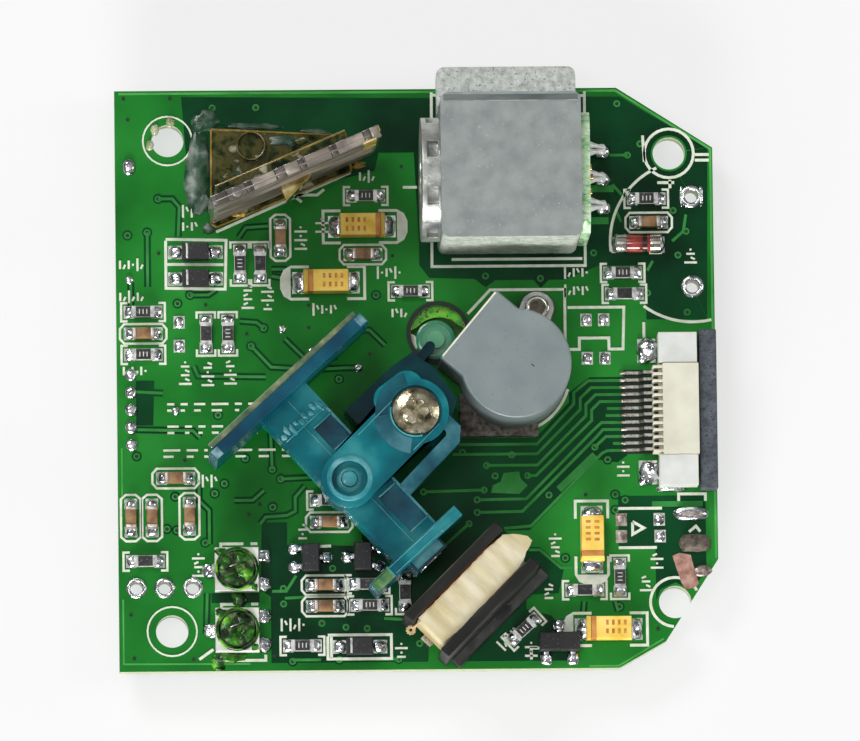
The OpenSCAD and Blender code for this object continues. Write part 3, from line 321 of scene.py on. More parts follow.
class Form:
    """Collects closed shapes, in board millimetres, and makes one piece of them."""

    def __init__(self):
        self.points, self.faces, self.tags, self.finishes = [], [], [], []
        self.place = Matrix.Identity(4)

    def at(self, x=0.0, y=0.0, turn=0.0, z=0.0):
        self.place = Matrix.Translation((x, y, z)) @ Matrix.Rotation(math.radians(turn), 4, "Z")
        return self

    def add(self, points, faces, look):
        first = len(self.points)
        self.points += [self.place @ Vector(p) for p in points]
        self.faces += [[first + i for i in face] for face in faces]
        if look not in self.finishes:
            self.finishes.append(look)
        self.tags += [self.finishes.index(look)] * len(faces)

    def loft(self, rings, look):
        """A closed shape through rings of points."""
        n = len(rings[0])
        faces = [[k * n + i, k * n + (i + 1) % n, (k + 1) * n + (i + 1) % n, (k + 1) * n + i]
            for k in range(len(rings) - 1) for i in range(n)]
        last = (len(rings) - 1) * n
        faces += [list(range(n))[::-1], [last + i for i in range(n)]]
        self.add([p for ring in rings for p in ring], faces, look)

    def prism(self, outline, z0, z1, look):
        self.loft([[(x, y, z) for x, y in outline] for z in (z0, z1)], look)

    def box(self, x, y, z, look):
        self.prism([(x[0], y[0]), (x[1], y[0]), (x[1], y[1]), (x[0], y[1])], *z, look)

    def slab(self, long, wide, z0, z1, look, x=0.0, y=0.0):
        self.box((x - long / 2, x + long / 2), (y - wide / 2, y + wide / 2), (z0, z1), look)

    def disc(self, r, z0, z1, look, x=0.0, y=0.0, sides=24):
        self.prism(circle(r, sides, x, y), z0, z1, look)

    def block(self, layers, look):
        """A closed shape through level rectangles of (x0, x1, half width, height)."""
        self.loft([[(a, -w, z), (b, -w, z), (b, w, z), (a, w, z)] for a, b, w, z in layers], look)

    def revolve(self, profile, look, start=0.0, end=360.0, sides=32, x=0.0, y=0.0):
        """A closed profile of (radius, height) turned about (x, y)."""
        n, full = len(profile), end - start >= 360
        steps = sides if full else sides + 1
        points, faces = [], []
        for s in range(steps):
            a = math.radians(start + (end - start) * s / sides)
            points += [(x + r * math.cos(a), y + r * math.sin(a), z) for r, z in profile]
        for s in range(sides):
            t = (s + 1) % steps
            faces += [[s * n + i, t * n + i, t * n + (i + 1) % n, s * n + (i + 1) % n]
                for i in range(n)]
        if not full:
            last = (steps - 1) * n
            faces += [list(range(n)), [last + i for i in range(n)][::-1]]
        self.add(points, faces, look)

    def ring(self, outer, inner, z0, z1, look, **where):
        self.revolve([(outer, z0), (outer, z1), (inner, z1), (inner, z0)], look, **where)

    def ribbon(self, route, width, z0, z1, look):
        """A flat strip of one width along a route, with mitred corners."""
        route = [Vector(p) for p in route]
        sides = [(b - a).normalized() for a, b in zip(route, route[1:])]
        sides = [Vector((-d.y, d.x)) for d in sides]
        joints = [sides[0]]
        for a, b in zip(sides, sides[1:]):
            joint = a + b
            joints.append(joint / max(0.3, joint.dot(b)))
        joints.append(sides[-1])
        left = [p + j * width / 2 for p, j in zip(route, joints)]
        right = [p - j * width / 2 for p, j in zip(route, joints)]
        self.prism([tuple(p) for p in left + right[::-1]], z0, z1, look)

    def mound(self, long, wide, height, look, x=0.0, y=0.0, z=0.0, lean=0.0, seed=0, square=3.0,
            sides=14, wobble=0.07):
        """A blob of solder or glue: a rounded heap whose top leans along its own X."""
        draw = random.Random(seed)
        reach = [1 + draw.uniform(-wobble, wobble) for _ in range(sides)]
        rings = []
        for share, rise in ((1, 0), (0.95, 0.3), (0.78, 0.68), (0.5, 0.92), (0.2, 1.0)):
            ring = []
            for i in range(sides):
                a = 2 * math.pi * i / sides
                c, s = math.cos(a), math.sin(a)
                r = share * reach[i] / (abs(c) ** square + abs(s) ** square) ** (1 / square)
                lift = height * (rise + draw.uniform(-wobble, wobble) * (share < 1))
                ring.append((x + long / 2 * r * c + lean * (1 - share), y + wide / 2 * r * s, z + lift))
            rings.append(ring)
        self.loft(rings, look)

    def rod(self, a, b, r, look, sides=12):
        """A round bar between two points, with slightly rounded ends."""
        a, b = Vector(a), Vector(b)
        along = (b - a).normalized()
        side = along.orthogonal().normalized()
        other = along.cross(side)
        rings = []
        for at, share in ((0, 0.8), (0.1 * r, 1), (1, 1), (1, 0.8)):
            end = a if at != 1 else b
            middle = end + along * (0.1 * r if share == 1 else 0) * (1 if end is a else -1)
            turns = [2 * math.pi * i / sides for i in range(sides)]
            rings.append([tuple(middle + (side * math.cos(t) + other * math.sin(t)) * r * share)
                for t in turns])
        self.loft(rings, look)

    def make(self, name, body="board", slot=None, replaces=(), **how):
        bm = bmesh.new()
        corners = [bm.verts.new(p) for p in self.points]
        for face, tag in zip(self.faces, self.tags):
            bm.faces.new([corners[i] for i in face]).material_index = tag
        return make_piece(bm, name, self.finishes, body, slot, replaces, **how)


def make_piece(bm, name, looks, body="board", slot=None, replaces=(), bevel=0.0, sharp=42.0, steps=2):
    """Rounds the sharp edges of a mesh in board millimetres and makes it a piece."""
    bmesh.ops.recalc_face_normals(bm, faces=bm.faces)
    if bevel:
        edges = [e for e in bm.edges if len(e.link_faces) == 2
            and e.calc_face_angle(0.0) > math.radians(sharp)]
        bmesh.ops.bevel(bm, geom=edges, offset=bevel, segments=steps, profile=0.5, affect="EDGES",
            clamp_overlap=True)
    bm.transform(TO_ROW)
    mesh = bpy.data.meshes.new(name)
    bm.to_mesh(mesh)
    bm.free()
    for look in looks:
        mesh.materials.append(look)
    mesh.polygons.foreach_set("use_smooth", [True] * len(mesh.polygons))
    mesh.set_sharp_from_angle(angle=math.radians(sharp))
    piece = bpy.data.objects.new(name, mesh)
    bpy.context.scene.collection.objects.link(piece)
    if bevel:
        even = piece.modifiers.new("even_shading", "WEIGHTED_NORMAL")
        even.keep_sharp = True
    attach(piece, body)
    if replaces:
        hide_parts(*replaces)
    return piece


def cad_mesh(node):
    """A CAD node's mesh in board millimetres, with each flat face in one piece."""
    bm = bmesh.new()
    bm.from_mesh(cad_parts[node].data)
    bm.transform(TO_BOARD)
    bmesh.ops.remove_doubles(bm, verts=bm.verts, dist=0.0005)
    bmesh.ops.dissolve_limit(bm, angle_limit=math.radians(1), verts=bm.verts, edges=bm.edges)
    return bm


def rounded(node, looks, bevel, body="board", slot=None, name=None, choose=None, steps=2, sharp=42.0,
        cut=False):
    """A CAD node's shape with rounded edges. choose gives each face its finish's index, and
    cut splits large faces first."""
    bm = cad_mesh(node)
    for face in bm.faces:
        face.material_index = choose(face) if choose else 0
    if cut:
        large = [face for face in bm.faces if len(face.verts) > 4]
        bmesh.ops.triangulate(bm, faces=large, ngon_method="BEAUTY")
    return make_piece(bm, name or node + "_shown", looks, body, slot, (node,), bevel=bevel, steps=steps,
        sharp=sharp)


def solids(node, mark=0):
    """Place (x, y, turn) of each loose solid of a node. Its own X runs along its longest
    level edge, towards the side its corners lean to if mark is 1, or away if -1."""
    bm = cad_mesh(node)
    left, found = set(bm.verts), []
    while left:
        group, edge_of = set(), [left.pop()]
        while edge_of:
            v = edge_of.pop()
            group.add(v)
            for e in v.link_edges:
                w = e.other_vert(v)
                if w in left:
                    left.remove(w)
                    edge_of.append(w)
        level = [e.verts[1].co - e.verts[0].co for v in group for e in v.link_edges
            if abs(e.verts[0].co.z - e.verts[1].co.z) < 0.001]
        longest = max(level, key=lambda d: round(d.length, 3))
        turn = math.degrees(math.atan2(longest.y, longest.x)) % 180
        back = Matrix.Rotation(math.radians(-turn), 3, "Z")
        own = [back @ v.co for v in group]
        xs, ys = [p.x for p in own], [p.y for p in own]
        middle = Vector(((min(xs) + max(xs)) / 2, (min(ys) + max(ys)) / 2, 0))
        lean = sum(xs) / len(xs) - middle.x
        if mark and lean * mark < 0:
            turn += 180
        there = back.inverted() @ middle
        found.append((round(there.x, 3), round(there.y, 3), round(turn, 1)))
    bm.free()
    return sorted(found)


# ---------------------------------------------------------- board's own surface


def board_look():
    """Solder mask above and below, glass fibre on the cut sides."""
    made = POUR.copy()
    made.name = "board_mask_and_edge"
    add, link, nodes = node_tools(made)
    shader = nodes["Principled BSDF"]
    mask = shader.inputs["Base Color"].links[0].from_socket
    fibres = add("ShaderNodeTexNoise", Scale=1800)
    link(add("ShaderNodeTexCoord").outputs["Object"], fibres.inputs["Vector"])
    ramp = add("ShaderNodeValToRGB")
    ramp.color_ramp.elements[0].color = srgb((148, 164, 116))
    ramp.color_ramp.elements[1].color = srgb((206, 206, 170))
    link(fibres.outputs["Fac"], ramp.inputs["Fac"])
    split = add("ShaderNodeSeparateXYZ")
    link(add("ShaderNodeNewGeometry").outputs["Normal"], split.inputs["Vector"])
    level = add("ShaderNodeMath")
    level.operation = "ABSOLUTE"
    link(split.outputs["Z"], level.inputs[0])
    mix = add("ShaderNodeMix")
    mix.data_type = "RGBA"
    link(level.outputs["Value"], mix.inputs["Factor"])
    link(ramp.outputs["Color"], mix.inputs["A"])
    link(mask, mix.inputs["B"])
    link(mix.outputs["Result"], shader.inputs["Base Color"])
    return made


def dress(look, *nodes):
    for node in nodes:
        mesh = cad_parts[node].data
        mesh.materials.clear()
        mesh.materials.append(look)


dress(board_look(), "circuit_board")

# Thin layers, each a little higher than the one below it.
DARK_Z, GAP_Z, TRACE_Z, VIA_Z, SILK_Z, PAD_Z = 0.012, 0.02, 0.03, 0.036, 0.042, 0.05

# Where the board has no copper under its mask.
no_copper = [[(-16.5, 20.3), (1.2, 20.1), (1.1, 16.2), (-2.5, 16.2), (-2.8, 14.9), (-8.5, 13.5),
    (-14.1, 10.9), (-15.3, 13), (-16.2, 16.3)], [(1.2, 20.3), (14.7, 20.1), (16.5, 19), (20.9, 16.4),
    (20.7, 4.1), (16.4, 4.1), (16.3, 8), (13.1, 8), (10.6, 7), (9.5, 7), (8.9, 6.4), (8.4, 7), (5.7, 7),
    (5, 6.5), (4.2, 7.1), (1, 7.2), (0.3, 8.1), (0.3, 9.6), (0, 16.2), (1.2, 16.2)],
    [(-19.9, 0), (-18.6, 0), (-18.7, -3.2), (-19.9, -3.2)],
    [(-11.1, -10.2), (-9.3, -10.2), (-9.3, -11.8), (-4.6, -11.9), (-2.7, -13.9), (-0.6, -15.4),
    (0.7, -17.6), (0.6, -20.2), (-10.5, -20.2), (-10.5, -15.5), (-11.2, -15)],
    [(-14.7, -15.2), (-11.3, -15.2), (-11.3, -15.9), (-14.7, -15.9)],
    [(14.9, 0), (12.3, 0), (10.8, -1.1), (10.8, -1.8), (8.4, -4.3), (3, -4.3), (1.5, -1.4),
    (-1.2, -1.4), (-4, -4), (-4, -11.5), (-2.6, -13.7), (0.9, -17.4), (2.2, -20.2), (11.4, -20.2),
    (9.4, -17), (7.6, -16.5), (7.6, -15.5), (9.9, -15.4), (10.3, -13.6), (8.6, -12.1), (7.7, -12.1),
    (6.1, -10.9), (7.9, -10.9), (12.8, -5.9), (14.2, -6.1), (14.9, -5.6)],
    [(14.2, -8.5), (16.6, -8.5), (20.4, -8.5), (20.4, -14), (19.2, -15.2), (18.2, -14.7), (17.1, -15.2),
    (16.8, -16), (16.8, -12.3), (14.2, -12.3)]]

# Tracks on the bare zones, from the cable socket to their vias and pads.
socket_x = 14.6
tracks_on_dark = [[(socket_x, -0.25), (12.2, -0.25), (11.15, -1.1), (11.15, -1.9), (8.5, -4.75),
    (3, -4.75)], [(socket_x, -0.75), (12.4, -0.75), (11.6, -1.5), (11.6, -2.3), (8.5, -5.45),
    (2.5, -5.45)], [(socket_x, -1.25), (12.7, -1.25), (12, -1.95), (12, -2.75), (8.5, -6.25),
    (4.9, -6.25)], [(socket_x, -1.75), (13, -1.75), (12.4, -2.35), (12.4, -3.1), (8.4, -7), (7.8, -7)],
    [(socket_x, -2.25), (13.5, -2.25)], [(socket_x, -2.75), (13.4, -2.75)],
    [(socket_x, -3.25), (13.1, -3.25), (12.5, -3.8), (7.7, -8.65), (4.3, -8.7)],
    [(socket_x, -3.75), (13.2, -3.75), (12.7, -4.3), (7.4, -9.55), (4.3, -9.6)],
    [(socket_x, -4.25), (13.4, -4.25), (12.6, -5)], [(socket_x, -4.75), (13.9, -4.75)],
    [(socket_x, -5.25), (13.5, -5.25), (13.1, -5.45), (8, -10.6), (6.1, -10.75)],
    [(0.5, -8.1), (4.7, -8)], [(7.8, -12.3), (8.6, -12.3), (10.1, -13.6), (11.2, -13.6)],
    [(3.6, -10.4), (1.8, -12)], [(13.9, 15.9), (15.2, 15.9)], [(14.1, 13.8), (14.9, 12.9)],
    [(14.3, 12), (14.7, 11.1)], [(18.3, 9.7), (19.1, 10.4), (19.3, 11.6)], [(16.9, 8.3), (16.5, 7.6)],
    [(-10.4, -15.1), (-9.4, -15.1), (-8.7, -14)], [(-9.5, -15.6), (-7.5, -15.5)],
    [(-2.5, -17.1), (-0.6, -17.2)], [(-5.7, -20), (-1.5, -20)], [(-9, -20), (-7, -20)]]
wide_on_dark = [[(12.6, -5.55), (10, -8)], [(12.5, 13.5), (14.2, 13.5)], [(12.5, 11.2), (13.8, 11.2)]]
patches_on_dark = [[(5.2, -8.2), (5.3, -7.7), (5.9, -7.4), (6.1, -6.8), (7.2, -6.7), (7.3, -7.2),
    (7.8, -7.7), (7.2, -8.3)], [(16.6, -8.9), (20.2, -8.9), (20.2, -9.3), (16.6, -9.3)]]

# Tracks cut out of the copper pour: a light line with a dark gap on each side.
tracks_in_pour = [[(-18.2, 13), (-17.2, 13), (-16.7, 12.4), (-16.8, 10.3)], [(-19, 10.6), (-19, 6.7)],
    [(-16, 6.1), (-14.7, 6.1), (-14.1, 6.5)], [(-12.5, 4.2), (-11.3, 4.1), (-10.8, 3.7)],
    [(-10.2, 7.9), (-9.3, 7.9), (-7.9, 6.5)], [(-10.2, 7.4), (-9.6, 7.3), (-8.4, 6.2)],
    [(-11.7, 2.4), (-10.3, 0.9), (-7.3, 0.7), (-5.2, 0.8), (-4.1, 0.8)],
    [(-12.5, 10.2), (-12, 10.9), (-10.4, 11)], [(-15.8, 1), (-15.5, 0.3), (-10.7, 0.2)],
    [(-10.3, -6.4), (-10.4, -3.7)], [(-9.7, -7.1), (-7.4, -7)],
    [(-11.2, -10.3), (-10.8, -9.8), (-9.3, -9.7), (-8.7, -9.4), (-8.7, -8.4), (-8, -7.6)],
    [(-14.8, -11.7), (-14.8, -9.3), (-15.5, -8.6), (-15.5, -7.4)],
    [(-19.9, -3.5), (-15.9, -3.6), (-15.4, -4.1)], [(-15.1, -18.1), (-15, -15.2)],
    [(-9.3, 2.9), (-8, 1.6), (-5.6, 1.6)], [(-5.5, 3.4), (-3.3, 3.5), (-2.2, 2.4)],
    [(-13, -8.6), (-11.7, -8.6), (-10.9, -7.9)], [(-19.9, -0.8), (-18, -0.9)],
    [(-20.2, 7), (-20.2, 5.4)], [(13.9, -16), (14.1, -16.7)], [(11.7, -16), (11.6, -17)]]

vias = [(14.5, 19.6), (16.1, 16.7), (15.2, 15.9), (5, 7.3), (8.9, 7.1), (18.4, 11.9), (19.3, 10.4),
    (18.7, 8.7), (19.3, 4.6), (16.5, 6), (12.7, 8.9), (-14.3, 19.5), (-11.2, 19.5), (-20.4, 10.4),
    (-19, 10.6), (-18.2, 13), (-16, 6.1), (-16.9, 5.5), (-10.8, 3.7), (-11.7, 2.4), (-2.8, 6),
    (-19.9, -5.4), (-14.4, -8.1), (-13.7, -7.4), (-17.2, -8.3), (-17.8, -10.6), (-17.1, -10.7),
    (-10.3, -9.1), (-10.3, -6.4), (-9.7, -7.1), (-14.1, -2.5), (-12.2, -5.6), (-5.5, 0), (-6.1, -13.5),
    (-9.6, -16), (-9.6, -14.9), (-6.9, -17.4), (-5.2, -17.7), (-3.7, -17.8), (0, -18.9), (-9, -20.1),
    (-5.7, -20), (-1.5, -20), (-15.1, -11.6), (0.4, -8.1), (4.9, -6.25), (5.5, -7), (6.7, -7),
    (7.8, -7), (4.7, -8), (4.2, -8.7), (4.2, -9.6), (3.6, -10.4), (9.3, -8.4), (12.6, -5), (13.5, -5.9),
    (14.7, -8.8), (14, -8.4), (14, -9.5), (10.4, -12.9), (14.2, -16.4), (3.2, -5.3), (6.7, -5.5)]
filled_vias = [(-9.5, 3.6), (-20.3, 7.2), (-4.1, 0.8), (-7.4, 2), (-17.1, -2.2)]
dark_dots = [(-20.6, 20.2), (-17.3, 20.2), (-20.3, 18.7), (-18.2, 9.1), (-14.9, 5.4), (-7.6, 5.3),
    (-7.6, 3.7), (-12, 3.3), (-3.3, 1.8), (-1.6, 8.8), (-16.5, -5.7), (-11.2, -8.9), (-20.4, -16.7),
    (-20.2, -19.8), (-16, -19.9), (-10.3, -19.7), (-12, -9.6), (-6.5, 17.5), (-2.1, 11.9), (-0.9, 15.2),
    (16.9, -18), (11.9, -8.4)]


def with_holes(outline, *holes):
    """The outline with round holes cut in it, each joined to it by a hair-thin slit."""
    for x, y, r in holes:
        k = min(range(len(outline)), key=lambda i: math.dist(outline[i], (x, y)))
        px, py = outline[k]
        toward = math.atan2(py - y, px - x)
        area = sum(a[0] * b[1] - b[0] * a[1] for a, b in zip(outline, outline[1:] + outline[:1]))
        way = -1 if area > 0 else 1
        turns = [toward + way * (0.03 + (2 * math.pi - 0.06) * i / 24) for i in range(25)]
        rim = [(x + r * math.cos(a), y + r * math.sin(a)) for a in turns]
        side = 0.01 * way
        shift = (-side * math.sin(toward), side * math.cos(toward))
        outline = (outline[:k] + [(px + shift[0], py + shift[1])] + rim
            + [(px - shift[0], py - shift[1])] + outline[k + 1:])
    return outline


zone_holes = {1: [(18.15, 16, 1.3), (19.7, 12.9, 0.5), (19.7, 6.45, 0.5)]}
layer = Form()
for i, zone in enumerate(no_copper):
    zone = with_holes(zone, *zone_holes.get(i, []))
    layer.prism(zone, 0, DARK_Z - 0.0008 * i, DARK)
for i, route in enumerate(tracks_in_pour):
    layer.ribbon(route, 0.5, 0, GAP_Z - 0.0002 * i, DARK)
for i, (x, y) in enumerate(vias):
    layer.disc(0.36, 0, GAP_Z + 0.00005 * i, DARK, x, y, 16)
for x, y in dark_dots:
    layer.disc(0.13, 0, VIA_Z, HOLE_AND_SHADE, x, y, 8)
layer.make("mask_without_copper", slot="pcb")

layer = Form()
for i, route in enumerate(tracks_on_dark + tracks_in_pour):
    layer.ribbon(route, 0.2, 0, TRACE_Z - 0.0001 * i, TRACE)
for i, route in enumerate(wide_on_dark):
    layer.ribbon(route, 0.5, 0, TRACE_Z + 0.001, TRACE)
for patch in patches_on_dark:
    layer.prism(patch, 0, TRACE_Z + 0.001, TRACE)
for x, y in vias:
    layer.revolve([(0.25, 0.005), (0.25, VIA_Z - 0.01), (0.2, VIA_Z), (0.13, VIA_Z - 0.008),
        (0.13, 0.005)], TRACE, x=x, y=y, sides=14)
    layer.disc(0.125, 0, VIA_Z - 0.01, HOLE_AND_SHADE, x, y, 10)
layer.make("tracks_and_vias", slot="pcb")

# A paler line where the pour ends short of the board's edge, and the milled edge itself.
(west, east), (south, north), _ = box_of("circuit_board")
layer = Form()
layer.ribbon([(west + 0.3, north - 0.2), (14.4, north - 0.2), (east - 0.15, 16.3), (east - 0.15, -13)],
    0.16, 0, 0.014, EDGE)
layer.ribbon([(17.3, -18.7), (14.1, south + 0.15), (12, south + 0.15)], 0.12, 0, 0.014, EDGE)
layer.ribbon([(-20.95, -4.8), (-20.95, -8.8)], 0.12, 0, 0.014, EDGE)
layer.ribbon([(-20.95, -15.6), (-20.95, -20.2), (-12, -20.25)], 0.12, 0, 0.014, EDGE)
layer.make("pour_edge_line", slot="pcb")

# ------------------------------------------------------------- screen printing

resistors = solids("chip_resistors")
capacitors = solids("chip_capacitors")
tantalums = solids("tantalum_capacitors", mark=1)
diodes = solids("signal_diodes")

silk = Form()
LINE = 0.2


def print_lines(*routes, width=LINE):
    for route in routes:
        silk.ribbon(route, width, 0, SILK_Z, SILK_AND_HIGHLIGHT)


def print_arc(x, y, r, start, end, width=LINE):
    silk.revolve([(r - width / 2, 0), (r - width / 2, SILK_Z), (r + width / 2, SILK_Z),
        (r + width / 2, 0)], SILK_AND_HIGHLIGHT, start, end, 28, x, y)


print_lines([(1.3, 20.5), (1.2, 8), (12.1, 8), (12.2, 20.5)], [(2.6, 8.5), (11.9, 8.5)],
    [(-0.8, 13.7), (0.2, 13.7)], [(1.4, 20.3), (2.1, 20.3)], [(11.4, 20.2), (12.1, 20.2)])
print_lines([(3.7, 4.6), (5.3, 6.3), (10.6, 6.3), (10.6, 2.1)],
    [(10.8, 5), (14.8, 5), (14.7, 2), (13.7, 2), (13.7, 2.8), (11.6, 2.8), (11.6, 2), (10.8, 2)])
print_arc(6.6, 0.35, 4.3, -64, -16)
print_lines([(-14.1, 10.6), (-4.5, 14.8)], [(-8.8, 14.1), (-8.5, 13.1), (-8, 12.7)],
    [(-8.6, 13.2), (-6.9, 13.2), (-6.4, 13.6)])
print_lines([(-17.7, 10.1), (-13.4, 10), (-13.5, 6.5), (-17.7, 6.6), (-17.7, 10)],
    [(-17.6, 8.3), (-13.6, 8.25)])
print_arc(19.7, 9.7, 5.8, 115, 187)
print_arc(19.7, 9.7, 5.8, 233, 283)
print_arc(18.15, 16, 1.75, 0, 360)
print_lines([(18.2, 14.1), (18.2, 13.5)], [(17.3, 13.9), (18.5, 13.9)], [(20, 15.5), (21, 15.5)],
    [(20, 15.9), (21, 15.9)], [(16.3, 17.3), (16.4, 15.4)])
print_arc(18.15, -16.1, 1.75, 28, 266)
for hole in ((-17.5, 17.15), (-17.5, -17.9)):
    print_arc(*hole, 1.75, 0, 360, 0.12)
print_lines([(14.2, -9.4), (17.3, -9.4)], [(14.2, -12.2), (16.9, -12.2)],
    [(15.2, -10.35), (16, -10.8), (15.2, -11.25), (15.2, -10.4)],
    [(18.5, -8.9), (18.5, -8.4), (20.4, -8.4), (20.4, -8.9)],
    [(19.2, -11.1), (19.7, -10.7), (20, -11.1)], [(16.2, 3.9), (16.2, 2.4)])
for y in (-11.7, -16):
    print_lines([(-14, y - 0.4), (-14, y), (-12.4, y)], [(-11.9, y), (-11.4, y)])
print_lines([(-15.6, -19.9), (-14.6, -19.2)], [(-14.4, -20), (-10.9, -20), (-10.9, -19.6)],
    [(-8.2, -12), (-6.2, -11.9)], [(7.9, -20.1), (7.9, -19.3), (8.7, -19.3)])
for x, y, turn in resistors:
    silk.at(x, y, turn)
    print_lines([(-1.1, 0.65), (-1.55, 0.65), (-1.55, -0.65), (-1.1, -0.65)],
        [(1.1, 0.65), (1.55, 0.65), (1.55, -0.65), (1.1, -0.65)], width=0.16)
for x, y, turn in capacitors:
    silk.at(x, y, turn)
    print_lines([(-0.9, 0.7), (-1.35, 0.7), (-1.65, 0.35), (-1.65, -0.35), (-1.35, -0.7), (1.35, -0.7),
        (1.65, -0.35), (1.65, 0.35), (1.35, 0.7), (-0.9, 0.7)], width=0.16)
for x, y, turn in diodes:
    silk.at(x, y, turn)
    if y < 0:
        print_lines([(-2.25, 0.85), (2.25, 0.85), (2.25, -0.85), (-2.25, -0.85), (-2.25, 0.75)],
            [(-2, 0.8), (-2, -0.8)])
for x, y, turn in tantalums:
    silk.at(x, y, turn)
    print_lines([(-1.5, 1.15), (-2.75, 1.15), (-2.75, -1.15), (-1.5, -1.15)],
        [(1.2, 1.15), (2.5, 1.15)], [(1.2, -1.15), (2.5, -1.15)])
    silk.prism([(2.5, 1.25), (3, 0.95), (3.25, 0.4), (3.25, -0.4), (3, -0.95), (2.5, -1.25)], 0,
        SILK_Z + 0.001, SILK_AND_HIGHLIGHT)

# Generic marks where the real board prints its names: short strokes, no lettering.
draw = random.Random(5)
labels = [(-16, 12.1, 0, 2), (-16, 11, 0, 2), (-20.2, 8.3, 0, 3), (-11.9, 5.9, 90, 3),
    (-10.5, 5.8, 90, 3), (-20.2, 6, 0, 3), (-20, 0.7, 0, 3), (-16.4, 0.5, 90, 3), (-14.8, 0.4, 90, 3),
    (-13.2, 0.5, 90, 3), (-8.1, 10.1, 90, 3), (-6.6, 11, 90, 2), (-3.4, 14.5, 0, 2), (-1.9, 7.6, 0, 3),
    (-6.5, 5, 0, 3), (-1.2, 4.7, 0, 2), (-15.1, -7.2, 0, 3), (-15.6, -13.2, 90, 3),
    (-8.2, -10.9, 90, 2), (-9, -17.5, 0, 3), (-1.3, -19.4, 90, 2), (9.7, -12, 90, 3),
    (9.2, -15.3, 90, 2), (16.1, -14.8, 90, 2), (16.9, -13.2, 90, 2), (11.4, 7.5, 0, 3),
    (11.4, 6.2, 0, 3), (17.1, 9.3, 90, 2), (19.6, 8.6, 90, 2), (6.3, -18.6, 45, 3), (7.9, -19.4, 90, 2),
    (14.6, -6.6, 90, 2)]
for x, y, turn, count in labels:
    for i in range(count):
        silk.at(x, y, turn)
        at = 0.62 * (i - (count - 1) / 2)
        tall = draw.choice((0.3, 0.45))
        print_lines([(at - 0.13, tall), (at - 0.13, -tall)], width=0.15)
        print_lines([(at + 0.1, draw.choice((-0.3, 0, 0.3))), (at + 0.24, 0)], width=0.14)
silk.at()
for y, start, end in ((-1.7, -17.7, -9.6), (-3.3, -17.7, -9), (-5, -18, -9.3)):
    x = start
    while x < end:
        wide = draw.choice((0.5, 0.8, 1.2))
        print_lines([(x, y), (x + wide, y)], width=0.16)
        print_lines([(x, y - 0.45), (x + wide * 0.6, y - 0.45)], width=0.16)
        x += wide + 0.45
silk.make("screen_printing", slot="pcb")


# ------------------------------------------------------- solder and small parts

CHIP_L, CHIP_W = 1.6, 0.8
solder = Form()
seed = 0


def blob(long, wide, high, look=SOLDER, x=0.0, y=0.0, z=0.0, lean=0.0, **how):
    global seed
    seed += 1
    solder.mound(long, wide, high, look, x, y, z, lean, seed, **how)


def joints(x, y, turn, reach, long, wide, high):
    """A fillet of solder at each end of a part, higher towards the part."""
    solder.at(x, y, turn)
    for side in (-1, 1):
        solder.slab(long, wide, 0, PAD_Z, TIN, side * reach)
        blob(long * 1.02, wide, high, x=side * reach, lean=-side * long * 0.3)


for x, y, turn in resistors:
    joints(x, y, turn, 1.0, 0.75, 0.9, 0.3)
for x, y, turn in capacitors:
    joints(x, y, turn, 1.0, 0.75, 0.9, 0.45)
for x, y, turn in tantalums:
    joints(x, y, turn, 1.85, 1.1, 1.55, 0.75)
for x, y, turn in diodes:
    joints(x, y, turn, 1.45, 1.0, 0.95, 0.5)

low, high = box_of("glass_diode")[:2]
glass_at = ((low[0] + low[1]) / 2, (high[0] + high[1]) / 2)
joints(*glass_at, 0, 1.5, 0.8, 1.15, 0.5)

bare_pads = [(-16.8, 4.15), (-16.8, 2.45), (12.1, 4.1), (13.35, 4.1), (12.15, 1.35), (13.4, 1.35),
    (17.1, -10.2), (17.15, -11.4)]
for x, y in bare_pads:
    solder.at(x, y)
    solder.slab(0.8, 0.9, 0, PAD_Z, TIN)
    blob(0.74, 0.84, 0.2)
for x, y in ((14.4, -10.2), (14.4, -11.4)):
    solder.at(x, y)
    solder.slab(0.8, 0.9, 0, PAD_Z, DULL_SOLDER)
    blob(0.66, 0.76, 0.1, DULL_SOLDER)
for y in (0.4, -0.85, -2.1, -3.35, -4.6, 15.3):
    solder.at(-20.25, y)
    blob(0.95, 0.95 if y < 15 else 1.3, 0.26, square=2, wobble=0.05)
for x in (-20, -18, -16):
    solder.at(x, -14.8)
    solder.revolve([(0.45, 0), (0.48, 0.09), (0.6, 0.13), (0.72, 0.05), (0.74, 0)], SOLDER)
solder.at()
for x, y, r in ((19.7, 12.9, 0.46), (19.7, 6.45, 0.46)):
    solder.revolve([(r, 0), (r + 0.03, 0.1), (r + 0.16, 0.14), (r + 0.3, 0.08), (r + 0.36, 0)], SOLDER,
        x=x, y=y)
blob(0.3, 1.5, 0.12, x=19, y=12.9)
blob(0.3, 1.5, 0.12, x=20.4, y=12.9)
for x, y in filled_vias:
    blob(0.62, 0.62, 0.16, x=x, y=y, square=2)
blob(2.6, 1.05, 0.32, x=19.35, y=-9.8, square=2.4, wobble=0.04)
solder.slab(1.5, 0.24, 0.26, 0.345, DULL_SOLDER, 19.35, -9.85)
blob(1.4, 0.85, 0.2, DULL_SOLDER, x=20.1, y=-13.9, square=2)
pin_x, pin_y = box_of("driver_board_pins")[0][1], (16.1, 14.1, 12.1)
for y in pin_y:
    blob(1.15, 1.05, 0.55, x=pin_x - 0.2, y=y, lean=-0.2)
trimmers = [(-12.9, -13.6), (-12.9, -17.9)]
for tx, ty in trimmers:
    for x, y in ((-1, 0), (1, 1), (1, -1)):
        solder.at(tx + 1.95 * x, ty + y)
        blob(1.0, 1.1, 0.5, lean=-0.3 * x, wobble=0.16)
solder.at()
solder.make("solder_joints", slot="solder", replaces=("solder_pads",), sharp=60)

